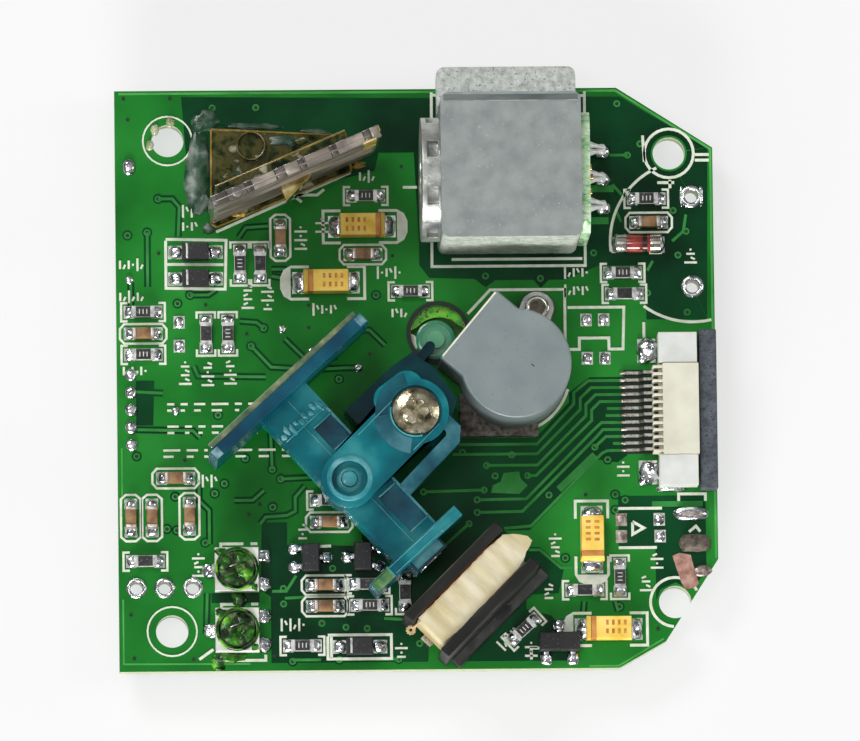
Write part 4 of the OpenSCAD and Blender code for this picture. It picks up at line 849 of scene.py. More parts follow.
waste = Form()
waste.mound(2.2, 1.3, 0.6, BROWN, 19.6, -11.9, seed=301, wobble=0.06, square=3.5)
waste.make("brown_residue", slot="tantalum", sharp=60)
patch = Form()
patch.prism([(18, -12.8), (18.5, -12.6), (19.3, -12.75), (19.5, -13.6), (19.85, -14.8), (19.5, -15.1),
    (18.9, -15.2), (18.6, -14.7), (18.3, -13.8)], 0, 0.05, BARE_COPPER)
patch.make("bare_copper_patch", slot="copper_wire")

chips = Form()
for i, (x, y, turn) in enumerate(resistors):
    chips.at(x, y, turn)
    chips.slab(1.1, CHIP_W * 0.98, 0.05, 0.36, WHITE)
    chips.slab(1.06, CHIP_W * 0.92, 0.36, 0.45, RESISTOR)
    for side in (-1, 1):
        chips.slab(0.28, CHIP_W, 0.03, 0.46, TIN, side * (CHIP_L / 2 - 0.14))
    if i % 3:
        for step in (-0.26, 0, 0.26):
            chips.slab(0.07, 0.34, 0.45, 0.462, WHITE, step)
chips.make("resistors_shown", slot="resistor_black", replaces=("chip_resistors",), bevel=0.03, steps=1)

chips = Form()
for x, y, turn in capacitors:
    chips.at(x, y, turn)
    chips.slab(1.1, CHIP_W * 0.96, 0.05, 0.76, CERAMIC)
    for side in (-1, 1):
        chips.slab(0.32, CHIP_W, 0.03, 0.8, TIN, side * (CHIP_L / 2 - 0.16))
chips.make("capacitors_shown", slot="ceramic", replaces=("chip_capacitors",), bevel=0.06)

blocks = Form()
for i, (x, y, turn) in enumerate(tantalums):
    blocks.at(x, y, turn)
    long, wide, high_z = 3.2, 1.7, 1.6
    for a, b, look in ((-long / 2, 0.92, TANTALUM), (0.92, 1.32, STRIPE), (1.32, long / 2, TANTALUM)):
        end = 0.32 if b == long / 2 else 0.0
        back = 0.06 if a == -long / 2 else 0.0
        half = wide / 2
        layers = [(a, b, half - 0.05, 0.12), (a, b, half, 0.75)]
        if end:
            layers.append((a, b, half - 0.02, high_z - end))
        blocks.block(layers + [(a + back, b - end, half - 0.08, high_z)], look)
    for side in (-1, 1):
        blocks.slab(0.16, 1.25, 0.05, 0.85, SOLDER, side * (long / 2 + 0.06))
    # generic printed dashes
    for row in (-0.32, 0.3):
        for step in range(4):
            blocks.slab(0.2, 0.36, high_z, high_z + 0.012, STRIPE, -1.1 + 0.42 * step, row)
blocks.make("tantalum_blocks", slot="tantalum", replaces=("tantalum_capacitors",), bevel=0.035)

black = Form()
for x, y, turn in diodes:
    black.at(x, y, turn)
    black.block([(-0.92, 0.92, 0.6, 0.1), (-0.95, 0.95, 0.62, 0.5), (-0.86, 0.86, 0.55, 1)], RESIN)
    black.slab(0.16, 1.1, 1, 1.012, TIN, -0.6)
    for side in (-1, 1):
        black.slab(0.9, 0.5, 0.05, 0.28, SOLDER, side * 1.25)
black.make("signal_diodes_shown", slot="chip_black", replaces=("signal_diodes",), bevel=0.05)


def transistor(form, x, y, turn, long, wide, high_z, spread):
    """A small three-legged package, its single leg at its own +X."""
    form.at(x, y, turn)
    a, b = wide / 2, long / 2
    form.block([(0.04 - a, a - 0.04, b - 0.04, 0.1), (-a, a, b, 0.5),
        (0.1 - a, a - 0.1, b - 0.07, high_z)], RESIN)
    for side, at in ((1, 0), (-1, -spread), (-1, spread)):
        wall = side * a
        form.box(sorted((wall - side * 0.05, wall + side * 0.22)), (at - 0.2, at + 0.2), (0.42, 0.55),
            SOLDER)
        form.box(sorted((wall + side * 0.14, wall + side * 0.26)), (at - 0.2, at + 0.2), (0.08, 0.55),
            SOLDER)
        form.mound(0.95, 0.9, 0.3, SOLDER, wall + side * 0.5, at, 0.0, -side * 0.2,
            int(100 * a + 10 * at) + side, wobble=0.1)


legs = Form()
for x, y, turn in ((-7.65, -12.75, 0), (-3.95, -12.7, 180)):
    transistor(legs, x, y, turn, 2, 1.3, 1, 0.65)
legs.make("small_transistors_shown", slot="chip_black", replaces=("small_transistors",), bevel=0.035)
legs = Form()
transistor(legs, 9.9, -18.9, 90, 2.9, 1.4, 1.05, 0.95)
legs.make("output_transistor_shown", slot="chip_black", replaces=("output_transistor",), bevel=0.035)


def turned(form, profile, look, x, y, z, sides=24):
    """Circles along X: profile is (x from the middle, radius)."""
    form.loft([[(x + at, *p) for p in circle(r, sides, y, z)] for at, r in profile], look)


glass = Form()
zs = box_of("glass_diode")[2]
gx, gy, gz = *glass_at, (zs[0] + zs[1]) / 2
for side in (-1, 1):
    turned(glass, [(side * 0.85, 0.67), (side * 1.1, 0.7), (side * 1.55, 0.7), (side * 1.66, 0.6)],
        NICKEL, gx, gy, gz)
turned(glass, [(-0.98, 0.55), (-0.8, 0.62), (0.8, 0.62), (0.98, 0.55)], DIODE_GLASS, gx, gy, gz)
turned(glass, [(0.3, 0.631), (0.62, 0.631)], DIODE_CORE, gx, gy, gz)
glass.make("glass_diode_shown", slot="diode_glass", replaces=("glass_diode",), sharp=35)

# Trimmers: a white body, a metal rotor with a cross slot, green lacquer over both.
lacquer_top = box_of("trimmer_1_rotor")[2][1]
run_off = {1: [(1.1, 1.3, 0.16, 0.2, -2.1, 0, 42)],
    2: [(2.4, 0.7, 0.2, -0.6, -1.9, 0, 40), (1.0, 1.1, 0.12, -1.3, -2.2, 0, 41)]}
for number, (tx, ty) in enumerate(trimmers, 1):
    case = Form().at(tx, ty)
    half, hole = 1.55, 1.36
    n = 32
    walls = []
    for r, z in ((hole, 0.3), (hole, 1.12), (half - 0.04, 1.2), (half, 1.12), (half, 0)):
        stretch = [1 if r == hole else max(abs(x), abs(y)) for x, y in circle(1, n)]
        walls.append([(r / k * x, r / k * y, z) for k, (x, y) in zip(stretch, circle(1, n))])
    case.add([p for ring in walls for p in ring], [[k * n + i, k * n + (i + 1) % n,
        (k + 1) * n + (i + 1) % n, (k + 1) * n + i] for k in range(4)
        for i in range(n)] + [[i, (i + 1) % n, 4 * n + (i + 1) % n, 4 * n + i] for i in range(n)],
        WHITE)
    case.slab(2.4, 2.4, 0.1, 0.5, WHITE)
    case.make(f"trimmer_{number}_case", slot="white_plastic", replaces=(f"trimmer_{number}_body",),
        sharp=30)
    coat = Form().at(tx, ty)
    coat.revolve([(1.37, 1.13), (1.37, 1.26), (1.45, 1.3), (1.54, 1.24), (1.56, 1.15)], LACQUER,
        sides=40)
    on_case = [(0.8, 0.6, 0.12, -1.15, 1.2, 1.16, number),
        (0.5, 0.5, 0.1, 1.25, -1.3, 1.16, number + 9)]
    for long, wide, high, x, y, z, pick in on_case + run_off[number]:
        coat.mound(long, wide, high, LACQUER, x, y, z, seed=pick, wobble=0.2)
    coat.make(f"trimmer_{number}_lacquer", slot="white_plastic", sharp=60)
    turn_part = Form().at(tx, ty, 20)
    turn_part.disc(1.24, 0.64, 1.18, ROTOR, sides=28)
    for first in (0, 90, 180, 270):
        spots = [(1.2, first + a) for a in (14, 30, 45, 60, 76)] + [(0.36, first + 45)]
        turn_part.prism([(r * math.cos(math.radians(a)), r * math.sin(math.radians(a)))
            for r, a in spots], 1.18, lacquer_top - 0.06, LACQUER)
    turn_part.mound(0.6, 0.8, 0.22, LACQUER, 0.1, -0.3, 1.2, seed=60 + number, wobble=0.25)
    turn_part.slab(0.7, 0.09, 1.3, lacquer_top - 0.02, NICKEL, -0.1, 0.3)
    turn_part.make(f"trimmer_{number}_turning", f"rotor_{number}", "trimmer_metal",
        (f"trimmer_{number}_rotor",), bevel=0.05)
terminals = Form()
for tx, ty in trimmers:
    for x, y in ((-1, 0), (1, 1), (1, -1)):
        terminals.at(tx + 1.9 * x, ty + y)
        terminals.slab(0.7, 0.85, 0.05, 0.4, SOLDER)
terminals.make("trimmer_tabs", slot="solder", replaces=("trimmer_terminals",), bevel=0.08)


# ------------------------------------------------------------------ cable socket

SOCKET_Y, SOCKET_W = -2.5, 10.9
left, rightmost, height = 17.1, 19.95, 2.0
socket = Form()
middle_half = 3.25
for x, z in ((left + 0.28, height), (left, height - 0.7)):
    socket.box((x, rightmost), (SOCKET_Y - middle_half, SOCKET_Y + middle_half), (0.1, z), CREAM)
for side in (-1, 1):
    y0 = SOCKET_Y + side * middle_half
    y1 = SOCKET_Y + side * SOCKET_W / 2
    edge = sorted((y0 + side * 0.03, y1))
    socket.box((left, rightmost - 0.1), edge, (0.1, height - 0.06), PALE_GREY)
    socket.box((left + 0.35, rightmost - 0.22), sorted((y0, y0 + side * 0.1)), (0.1, height - 0.2),
        RESIN)
for i in range(13):
    y = SOCKET_Y + (i - 6) * 0.5
    socket.box((left - 0.42, left + 0.3), (y - 0.1, y + 0.1), (0.15, height - 0.1), CREAM)
socket.make("socket_housing_shown", slot="cream_plastic", replaces=("socket_housing",), bevel=0.07)
pins = Form()
for i in range(12):
    y = SOCKET_Y + (i - 5.5) * 0.5
    pins.at(0, y)
    pins.box((left - 0.3, left + 0.1), (-0.12, 0.12), (0.2, 0.9), RESIN)
    pins.box((left - 1.0, left - 0.06), (-0.1, 0.1), (0.62, 0.78), CONTACT)
    pins.add([(left - 1.0, -0.1, 0.62), (left - 1.0, 0.1, 0.62), (left - 1.0, 0.1, 0.78),
        (left - 1.0, -0.1, 0.78), (left - 1.3, -0.1, 0.06), (left - 1.3, 0.1, 0.06),
        (left - 1.35, 0.1, 0.2), (left - 1.35, -0.1, 0.2)],
        [[0, 1, 2, 3], [7, 6, 5, 4], [0, 4, 5, 1], [1, 5, 6, 2], [2, 6, 7, 3], [3, 7, 4, 0]], CONTACT)
    pins.box((left - 2.3, left - 1.28), (-0.1, 0.1), (0.06, 0.19), CONTACT)
    pins.mound(1.0, 0.26, 0.16, SOLDER, left - 1.95, 0, 0.02, 0.1, 200 + i, wobble=0.12)
    pins.mound(0.7, 0.24, 0.2, DULL_SOLDER, left - 2.35, 0, 0, 0, 220 + i, wobble=0.2)
pins.at()
pins.box((left - 2.4, left - 0.1), (SOCKET_Y - 3, SOCKET_Y + 3), (0, 0.05), HOLE_AND_SHADE)
pins.make("socket_pins", slot="plated_contact", replaces=("socket_contacts",), sharp=50)
rounded("socket_slider", [SLATE], 0.1, "slider", "slate_plastic")
tabs = Form()
for side in (-1, 1):
    y = SOCKET_Y + side * 4.35
    tabs.at(16.35, y)
    tabs.slab(1.3, 1.7, 0, 0.12, TIN)
    tabs.mound(1.5, 1.9, 0.55, SOLDER, 0, 0, 0, 0.4, 240 + side, wobble=0.16)
    tabs.mound(0.9, 0.8, 0.7, SOLDER, 0.3, 0.3, 0, 0.2, 243 + side, wobble=0.2)
    tabs.mound(0.8, 0.9, 0.5, SOLDER, -0.3, -0.5, 0, 0.1, 246 + side, wobble=0.2)
tabs.at()
tabs.mound(2.2, 0.5, 0.35, SOLDER, 17.9, SOCKET_Y - 5.5, 0, 0, 250, wobble=0.15)
tabs.make("socket_tabs", slot="solder", replaces=("socket_solder_tabs",), sharp=60)

# ------------------------------------------------------------------ laser module

(bx0, bx1), (by0, _), (_, bz1) = box_of("laser_housing")
HOUSING_Y, HOUSING_W = 14, 10.3
foot_from = HOUSING_Y + HOUSING_W / 2 + 0.02
# The rear foot takes the speckled casting; faces turned to the front take a paler casting as painted
# light.
rounded("laser_housing", [CAST, CAST_ROUGH, CAST_LIT_FRONT], 0.16, slot="cast_zinc", steps=3,
    choose=lambda f: 1 if f.calc_center_median().y > foot_from and f.calc_center_median().z < 2 else 2
    if f.normal.y < -0.5 else 0)
# Painted light and shade on the housing: a dark band along the top's rear edge with a pale highlight
# line in front of it, a dark line where the rear wall meets the lower flange, and a dark line along the
# front foot.
housing_shading = Form()
housing_shading.box((bx0 + 0.2, bx1 - 0.2), (foot_from - 0.62, foot_from - 0.2), (bz1 - 0.02, bz1 + 0.006),
    CAST_EDGE_SHADE)
housing_shading.box((bx0 + 0.2, bx1 - 0.2), (foot_from - 0.7, foot_from - 0.62), (bz1 - 0.02, bz1 + 0.01),
    CAST_PALE)
housing_shading.box((bx0 + 0.12, bx1 - 0.12), (foot_from - 0.02, foot_from + 0.14), (1.45, 1.6), CAST_DARK)
housing_shading.box((bx0 + 0.3, bx1 - 0.3), (by0, by0 + 0.12), (0.02, 0.3), CAST_DARK)
housing_shading.make("housing_painted_light_and_shade", slot="cast_zinc", bevel=0.03, steps=1)
rounded("laser_barrel", [CAST], 0.1, slot="cast_zinc")
rounded("focus_ring", [CAST_PALE], 0.16, slot="cast_zinc", steps=3)
dress(LENS, "collimating_lens")
dress(STEEL, "lens_spring", "socket_solder_tabs")
dress(GOLD, "laser_diode")
rounded("laser_driver_board", [DRIVER_PCB], 0.05, slot="driver_pcb", steps=1)
wires = Form()
for i, y in enumerate(pin_y):
    x0 = bx1 + 0.5
    wires.rod((x0, y, 1.6), (pin_x - 0.35, y, 1.6), 0.24, SOLDER)
    wires.rod((pin_x - 0.4, y, 1.62), (pin_x - 0.3, y, 0.05), 0.24, SOLDER)
    for side in (-0.34, 0.34):
        cone = ((0, 0.34), (0.3, 0.3), (0.75, 0.18), (1.15, 0.13), (1.4, 0.05))
        wires.loft([[(x0 + 0.05 + reach, *p) for p in circle(r, 12, y + side * (1 - reach / 2),
            2.1 - 0.2 * reach)] for reach, r in cone], BRIGHT_LEAD)
    wires.mound(0.7, 0.8, 0.3, BRIGHT_LEAD, pin_x - 0.35, y, 1.5, 0, 264 + i, wobble=0.14)
wires.make("driver_pins_shown", slot="solder", replaces=("driver_board_pins",), sharp=60)

# ----------------------------------------------------------------- light detector

rounded("detector_shield", [CAN], 0.13, slot="cast_zinc", steps=3)
dress(RED, "red_filter")
dress(RESIN, "photodiode")
rounded("shield_base", [BASE_CAST, CAST_PALE], 0.08, slot="rough_casting", choose=lambda f: 1
    if f.calc_center_median().y > 3.2 else 0)
rounded("shield_rivet", [NICKEL], 0.1, slot="nickel")
(rx0, rx1), (ry0, ry1), (_, rz1) = box_of("shield_rivet")
rivet = Form().at((rx0 + rx1) / 2, (ry0 + ry1) / 2)
rivet.revolve([(0.55, rz1 - 0.02), (0.62, rz1 + 0.06), (0.8, rz1 + 0.05), (0.86, rz1 - 0.02)], NICKEL)
rivet.disc(0.56, rz1 - 0.03, rz1 + 0.01, BROWN)
rivet.make("rivet_rim", slot="nickel", sharp=60)
SHIELD_AT, WINDOW_TURN = (6.85, 0.25), 140
# On the flat face a dark red line is the filter's edge, and a white strip along the rim's top is a
# painted highlight; a short dark slit sits on top.
seam = Form().at(*SHIELD_AT, WINDOW_TURN)
reach, half_w, top = 4.4, 6.2 / 2, box_of("detector_shield")[2][1]
seam.box((reach - 0.02, reach + 0.05), (-half_w + 0.2, half_w - 0.2), (top - 0.75, top - 0.62),
    RED_LINE)
seam.box((reach - 0.16, reach - 0.02), (-half_w + 0.15, half_w - 0.15), (top - 0.06, top + 0.01), SILK_AND_HIGHLIGHT)
seam.slab(0.3, 0.07, top - 0.01, top + 0.006, HOLE_AND_SHADE, -1.0, -0.6)
seam.make("shield_lines_and_rim_highlight", slot="cast_zinc", bevel=0.02, steps=1)

# ------------------------------------------------------------- collecting mirror

TILT, MID = 23, (-8.75, 14.45)
MIRROR_TOP = box_of("collecting_mirror")[2][1]
dress(MIRROR, "fold_mirror")
stick = Form().at(*MID, TILT)
half, thick = 13 / 2, 0.95
stick.prism([(-half, -thick), (half - 0.5, -thick), (half - 0.05, -thick / 2), (half - 0.05, 0),
    (-half, 0)], box_of("collecting_mirror")[2][0], MIRROR_TOP - 0.3, SMOKY)
steps_along = [(-half, -5.3, 0.12, SMOKY_DARK), (-5.3, -3.9, 0.05, SMOKY),
    (-3.9, -3.4, 0.16, SMOKY_DARK), (-3.4, -1.6, 0.02, SMOKY_PALE), (-1.6, -0.9, 0.1, SMOKY),
    (-0.9, 0.2, 0.0, SMOKY_PALE), (0.2, 0.7, 0.14, SMOKY_DARK), (0.7, 2.6, 0.03, SMOKY),
    (2.6, 3.1, 0.15, SMOKY_DARK), (3.1, 5.2, 0.0, SMOKY_PALE), (5.2, 5.7, 0.1, SMOKY),
    (5.7, half - 0.12, 0.0, SMOKY_PALE)]
for a, b, down, look in steps_along:
    stick.box((a + 0.02, b), (-thick + 0.04, -0.04), (MIRROR_TOP - 0.35, MIRROR_TOP - down), look)
stick.box((-half + 0.2, half - 0.9), (-thick + 0.36, -thick + 0.5), (MIRROR_TOP - 0.2, MIRROR_TOP),
    SMOKY_PALE)
stick.disc(0.42, MIRROR_TOP - 0.3, MIRROR_TOP - 0.01, SMOKY_PALE, -4.6, -0.48, 18)
stick.prism([(half - 0.45, -thick + 0.08), (half, -thick / 2), (half, -0.04), (half - 0.45, -0.04)],
    1.6, MIRROR_TOP - 0.1, GOLD_END)
stick.box((4.9, half - 0.5), (-thick - 0.05, -thick + 0.2), (MIRROR_TOP - 3, MIRROR_TOP + 0.005),
    GOLD_END)
stick.box((-half + 0.15, half - 0.7), (-thick - 0.02, -thick + 0.1), (1.6, MIRROR_TOP - 0.45),
    COLLECTOR_COAT)
stick.box((-half, 4.6), (-thick - 0.03, -thick + 0.1), (1.45, 1.6), AMBER_EDGE)
stick.make("collecting_mirror_shown", slot="mirror_plastic", replaces=("collecting_mirror",),
    bevel=0.07)
clear = Form()
foot = [(-14.45, 11.1), (-14.1, 10.85), (-4.45, 14.8), (-4.85, 17.3), (-14.4, 17.85)]
clear.prism(foot, 0.05, 0.85, AMBER)
for a, b in zip(foot, foot[1:] + foot[:1]):
    clear.rod((*a, 0.84), (*b, 0.84), 0.085, AMBER_EDGE, 8)
for seat, (long, wide, high, look, x, y, z, wobble,
        sides) in enumerate(((1.1, 0.5, 0.25, GOLD_END, -12.5, 11.75, 0.8, 0.2, 14),
        (2.4, 0.8, 0.1, GLUE, -9.1, 17.0, 0.84, 0.25, 20),
        (1.6, 0.5, 0.1, GLUE, -12.9, 14.6, 0.84, 0.25, 20),
        (1.0, 0.6, 0.5, AMBER_EDGE, -3.9, 15.3, 0.3, 0.2, 14))):
    clear.mound(long, wide, high, look, x, y, z, seed=276 + seat, wobble=wobble, sides=sides)
clear.at(-11.6, 16.6)
clear.revolve([(0.9, 0.84), (0.93, 1.28), (1.03, 1.3), (1.05, 0.84)], AMBER_DIM)
clear.disc(0.86, 0.8, 0.9, AMBER)
clear.at(*MID, TILT)
clear.box((-5.8, 4.2), (0.02, 0.6), (0.9, MIRROR_TOP - 0.62), AMBER)
clear.rod((-5.8, 0.56, MIRROR_TOP - 0.68), (4.2, 0.56, MIRROR_TOP - 0.68), 0.09, AMBER_EDGE, 8)
clear.box((-5.8, 4), (-0.95, 0.02), (0.9, 1.38), AMBER)
for x in (-4.6, 1.2):
    clear.loft([[(at, 0.58, 0.84), (at, 2.4, 0.84), (at, 0.58, 5.4)] for at in (x, x + 0.7)], AMBER)
clear.make("mirror_bracket_shown", slot="amber_plastic", replaces=("mirror_bracket",), bevel=0.05)
glue = Form()
puddles = [(-15.4, 15.2, 84, 5.6, 1.7, 0.3), (-14.9, 18.5, 20, 2.2, 1.6, 0.24),
    (-15.2, 12.6, 60, 1.6, 1.2, 0.2), (-11.4, 18.15, -2, 4.2, 0.5, 0.16),
    (-7.0, 17.75, -4, 2.6, 0.4, 0.12), (-14.6, 10.9, 30, 1.0, 0.8, 0.16)]
for i, (x, y, turn, long, wide, high_z) in enumerate(puddles):
    glue.at(x, y, turn)
    glue.mound(long, wide, high_z, GLUE, seed=280 + i, wobble=0.18, square=2.2, sides=22)
glue.at(-17.5, 17.15)
for i, (x, y) in enumerate(((-1.25, -0.3), (-0.9, 0.8), (0.2, 1.3))):
    glue.mound(0.6, 0.8, 0.22, GLUE_CLEAR, x, y, seed=290 + i, wobble=0.15, square=2)
glue.make("dried_glue_shown", slot="clear_glue", replaces=("mirror_adhesive",), sharp=60)

# ---------------------------------------------------------- pivot bracket and base

PIVOT, SCREW, ARM_TOP = (-5, -7.85), (-0.3, -3.15), box_of("pivot_bracket")[2][1]


def bracket_look(face):
    """The stop strip beside the arm is bluer, and the lower faces are darker as painted shade."""
    p = face.calc_center_median()
    if (p.x - PIVOT[0]) - (p.y - PIVOT[1]) > 3.4:
        return 2
    return 1 if p.z < 5.8 else 0


rounded("pivot_bracket", [TEAL, TEAL_DEEP, TEAL_STRIP_AND_SHADE], 0.14, slot="teal_plastic", steps=3,
    choose=bracket_look)
# The bracket's base takes a darker teal as painted shade.
rounded("bracket_base", [TEAL_BASE_SHADED, PEG], 0.14, slot="teal_plastic", steps=2, choose=lambda f: 1
    if (f.calc_center_median().y > 1.3 and f.calc_center_median().z < 0.1) else 0)
rounded("bracket_screw", [SCREW_METAL], 0.1, slot="nickel", steps=3)
dress(NUT, "bracket_nut")
# Pale rims round the pivot and a pale arc on the screw's lower-left rim are painted highlight; the dark
# ring round the screw and the two darker crescents on the arm round it are painted shade.
pivot = Form().at(*PIVOT)
pivot.revolve([(1.24, ARM_TOP - 0.1), (1.28, ARM_TOP + 0.07), (1.5, ARM_TOP + 0.09),
    (1.66, ARM_TOP - 0.02), (1.66, ARM_TOP - 0.12)], TEAL_PALE_AND_LIT, sides=40)
pivot.revolve([(0.56, 5.88), (0.6, 6.02), (0.82, 6.0), (0.95, 5.88)], TEAL_PALE_AND_LIT, sides=28)
pivot.at(*SCREW)
pivot.ring(1.84, 1.6, 6.0, 6.2, TEAL_DEEP, sides=40)
pivot.revolve([(1.9, ARM_TOP - 0.1), (1.9, ARM_TOP + 0.012), (3, ARM_TOP + 0.012), (3, ARM_TOP - 0.1)],
    TEAL_STRIP_AND_SHADE, 188, 262, 30)
pivot.revolve([(1.9, ARM_TOP - 0.1), (1.9, ARM_TOP + 0.01), (2.85, ARM_TOP + 0.01),
    (2.85, ARM_TOP - 0.1)], TEAL_DEEP, 106, 187, 30)
pivot.revolve([(1.7, 6.5), (1.72, 6.66), (1.83, 6.6), (1.83, 6.45)], TEAL_PALE_AND_LIT, 170, 285, 30)
# Pale lines along the arm's edges are painted highlight.
for along, across, long in ((2.6, 1.72, 3.4), (4.6, -1.8, 2.6)):
    start = Vector(PIVOT) + Vector((0.707, 0.707)) * along + Vector((-0.707, 0.707)) * across
    end = start + Vector((0.707, 0.707)) * long
    pivot.at()
    pivot.ribbon([start, end], 0.06, ARM_TOP - 0.05, ARM_TOP + 0.02, TEAL_PALE_AND_LIT)
pivot.make("bracket_rims_light_and_shade", slot="teal_plastic", sharp=60)
rounded("pivot_pin", [TEAL_PALE_AND_LIT], 0.06, slot="spring_steel")

# The locating hole's wall with painted light: a lit green side, a white painted highlight and a dark
# side of painted shade; and the peg in it.
HOLE_AT, HOLE_R = (1.6, 3.25), 2.0
wall = Form().at(*HOLE_AT)
for start, end, look in ((15, 165, PEG_GLOW), (165, 225, SILK_AND_HIGHLIGHT), (225, 375, HOLE_AND_SHADE)):
    wall.revolve([(HOLE_R - 0.05, -BOARD_T + 0.05), (HOLE_R - 0.05, -0.02), (HOLE_R - 0.01, -0.02),
        (HOLE_R - 0.01, -BOARD_T + 0.05)], look, start, end, 24)
for start, end, inner, look in ((12, 172, 1.25, PEG_GLOW), (180, 215, 1.6, SILK_AND_HIGHLIGHT)):
    thin = [HOLE_R - 0.08 - (HOLE_R - inner) * math.sin(math.pi * i / 18) ** 0.5 for i in range(19)]
    inward = [(r * x, r * y) for r, (x, y) in zip(thin, arc(1, start, end, 18))]
    wall.prism(arc(HOLE_R - 0.06, start, end, 18) + inward[::-1], -0.55, -0.42, look)
wall.revolve([(HOLE_R - 0.03, 0), (HOLE_R - 0.03, 0.02), (HOLE_R + 0.3, 0.02), (HOLE_R + 0.3, 0)], HOLE_AND_SHADE,
    sides=40)
wall.disc(HOLE_R - 0.06, -BOARD_T + 0.02, -BOARD_T + 0.12, HOLE_FLOOR, sides=36)
wall.at(HOLE_AT[0] - 0.2, HOLE_AT[1] - 0.45)
wall.revolve([(1.36, -0.9), (1.4, -0.34), (1.2, -0.24), (1.0, -0.27), (1.0, -0.9)], PEG, sides=32)
wall.disc(0.62, -0.32, -0.02, PEG_NUB, sides=24)
wall.make("locating_hole_lining", slot="teal_plastic", sharp=50)

# --------------------------------------------------------------- moving mirror

SWING = -47.5


def carrier_look(face):
    """The plate, the far side's ledge and the rest take different depths of the same teal: the far
    side's ledge is darker as painted shade, and some upper faces are paler as painted highlight.
    """
    p = Matrix.Rotation(math.radians(-SWING), 3, "Z") @ (face.calc_center_median()
        - Vector((*PIVOT, 0)))
    if p.x < -7.05:
        return 1
    if p.x > 6.4:
        return 0 if p.z > 5 and p.x < 7.2 else 2
    if p.y > 0.7 and face.normal.z > 0.5 and p.z < 4.6:
        return 4
    if face.normal.z > 0.5 and p.y > 1.5:
        return 3
    return 0


rounded("mirror_carrier", [TEAL, TEAL_PLATE, TEAL_DEEP, TEAL_PALE_AND_LIT, TEAL_POOL], 0.1, "carrier",
    "teal_plastic", steps=3, choose=carrier_look, cut=True)
rounded("scan_mirror_glass", [SILVERED, MIRROR_GLASS], 0.04, "carrier", "mirror_glass", steps=1,
    choose=lambda f: 1 if abs(f.normal.z) > 0.5 else 0)
rounded("magnet", [NICKEL], 0.08, "carrier", "nickel")
trim = Form().at(*PIVOT, SWING)
plate_top = box_of("mirror_carrier")[2][1]
PLATE_Y = 1.1
# Pale strips at both ends of the mirror plate are painted highlight.
for side in (-1, 1):
    trim.box((-7.88, -7.18), sorted((PLATE_Y + side * 6.6, PLATE_Y + side * 7.2)),
        (plate_top - 0.4, plate_top + 0.015), PLATE_END_LIGHT)
# Thin pale strips along the carrier's ribs and rims are painted highlight, and the pale mounds are a
# streak of glue.
trim.box((-6.9, 6.3), (2.3, 2.47), (4.7, 5.03), TEAL_PALE_AND_LIT)
for x in (-4.4, -2.3, 2.3, 5.6):
    trim.box((x - 0.06, x + 0.06), (0.72, 2.4), (4.4, 5.03), TEAL_PALE_AND_LIT)
for i in range(9):
    trim.mound(0.5 + 0.2 * (i % 3), 0.45, 0.09, TEAL_PALE_AND_LIT, -5.3 - 0.25 * (i % 2), -1.3 + 0.42 * i, 5.57,
        seed=310 + i, wobble=0.3, square=2, sides=9)
for x, y, z, look in (((-5.0, -4.92), (-1.45, 2.4), (5.3, 5.63), TEAL_PALE_AND_LIT),
        ((-7.0, -4.95), (0.62, 0.68), (5.5, 5.62), TEAL_PALE_AND_LIT),
        ((-4.9, -2.0), (0.3, 0.36), (4.9, 5.02), TEAL_PALE_AND_LIT),
        ((2.0, 6.3), (0.3, 0.36), (4.9, 5.02), TEAL_PALE_AND_LIT),
        ((6.44, 7.26), (-4.0, -2.4), (6.36, 6.43), LIME),
        ((6.5, 6.56), (-3.95, 3.95), (6.38, 6.43), TEAL_PALE_AND_LIT),
        ((7.1, 7.16), (-2.2, 3.95), (6.38, 6.43), TEAL_PALE_AND_LIT),
        ((7.24, 7.9), (-0.75, 1.7), (5.06, 5.14), TEAL_PALE_AND_LIT),
        ((7.0, 7.26), (2.2, 2.32), (2.3, 6.44), TEAL_PALE_AND_LIT),
        ((6.35, 7.26), (-2.45, -2.33), (2.3, 6.44), TEAL_PALE_AND_LIT)):
    trim.box(x, y, z, look)
trim.make("carrier_trim", "carrier", "teal_plastic", bevel=0.04, steps=2)

# --------------------------------------------------------------------- drive coil

COIL, COIL_TURN = (1.95, -14.2), -45
rounded("coil_bobbin", [BLACK], 0.12, slot="black_plastic", steps=2)
dress(COPPER, "coil_winding")
dress(IRON, "coil_core")
dress(CONTACT, "coil_terminals")
# Paler lines along the flanges' top edges and the ledge's inner edge are painted highlight.
edge_light = Form().at(*COIL, COIL_TURN)
coil_top = box_of("coil_bobbin")[2][1]
for x in (0.06, 0.79, 3.66, 4.34):
    edge_light.box((x - 0.035, x + 0.035), (-4.5, 4.5), (coil_top - 0.06, coil_top + 0.008), EDGE_HIGHLIGHT)
edge_light.box((4.38, 5.12), (-3.97, 5.02), (1.12, 1.208), LEDGE)
edge_light.box((4.38, 4.44), (-3.97, 5.02), (1.15, 1.25), EDGE_HIGHLIGHT)
edge_light.mound(0.7, 1.6, 0.03, RESIN, 4.72, 0.9, 1.2, seed=320, square=2)
edge_light.make("bobbin_ledge_and_edge_highlights", slot="black_plastic", sharp=50)

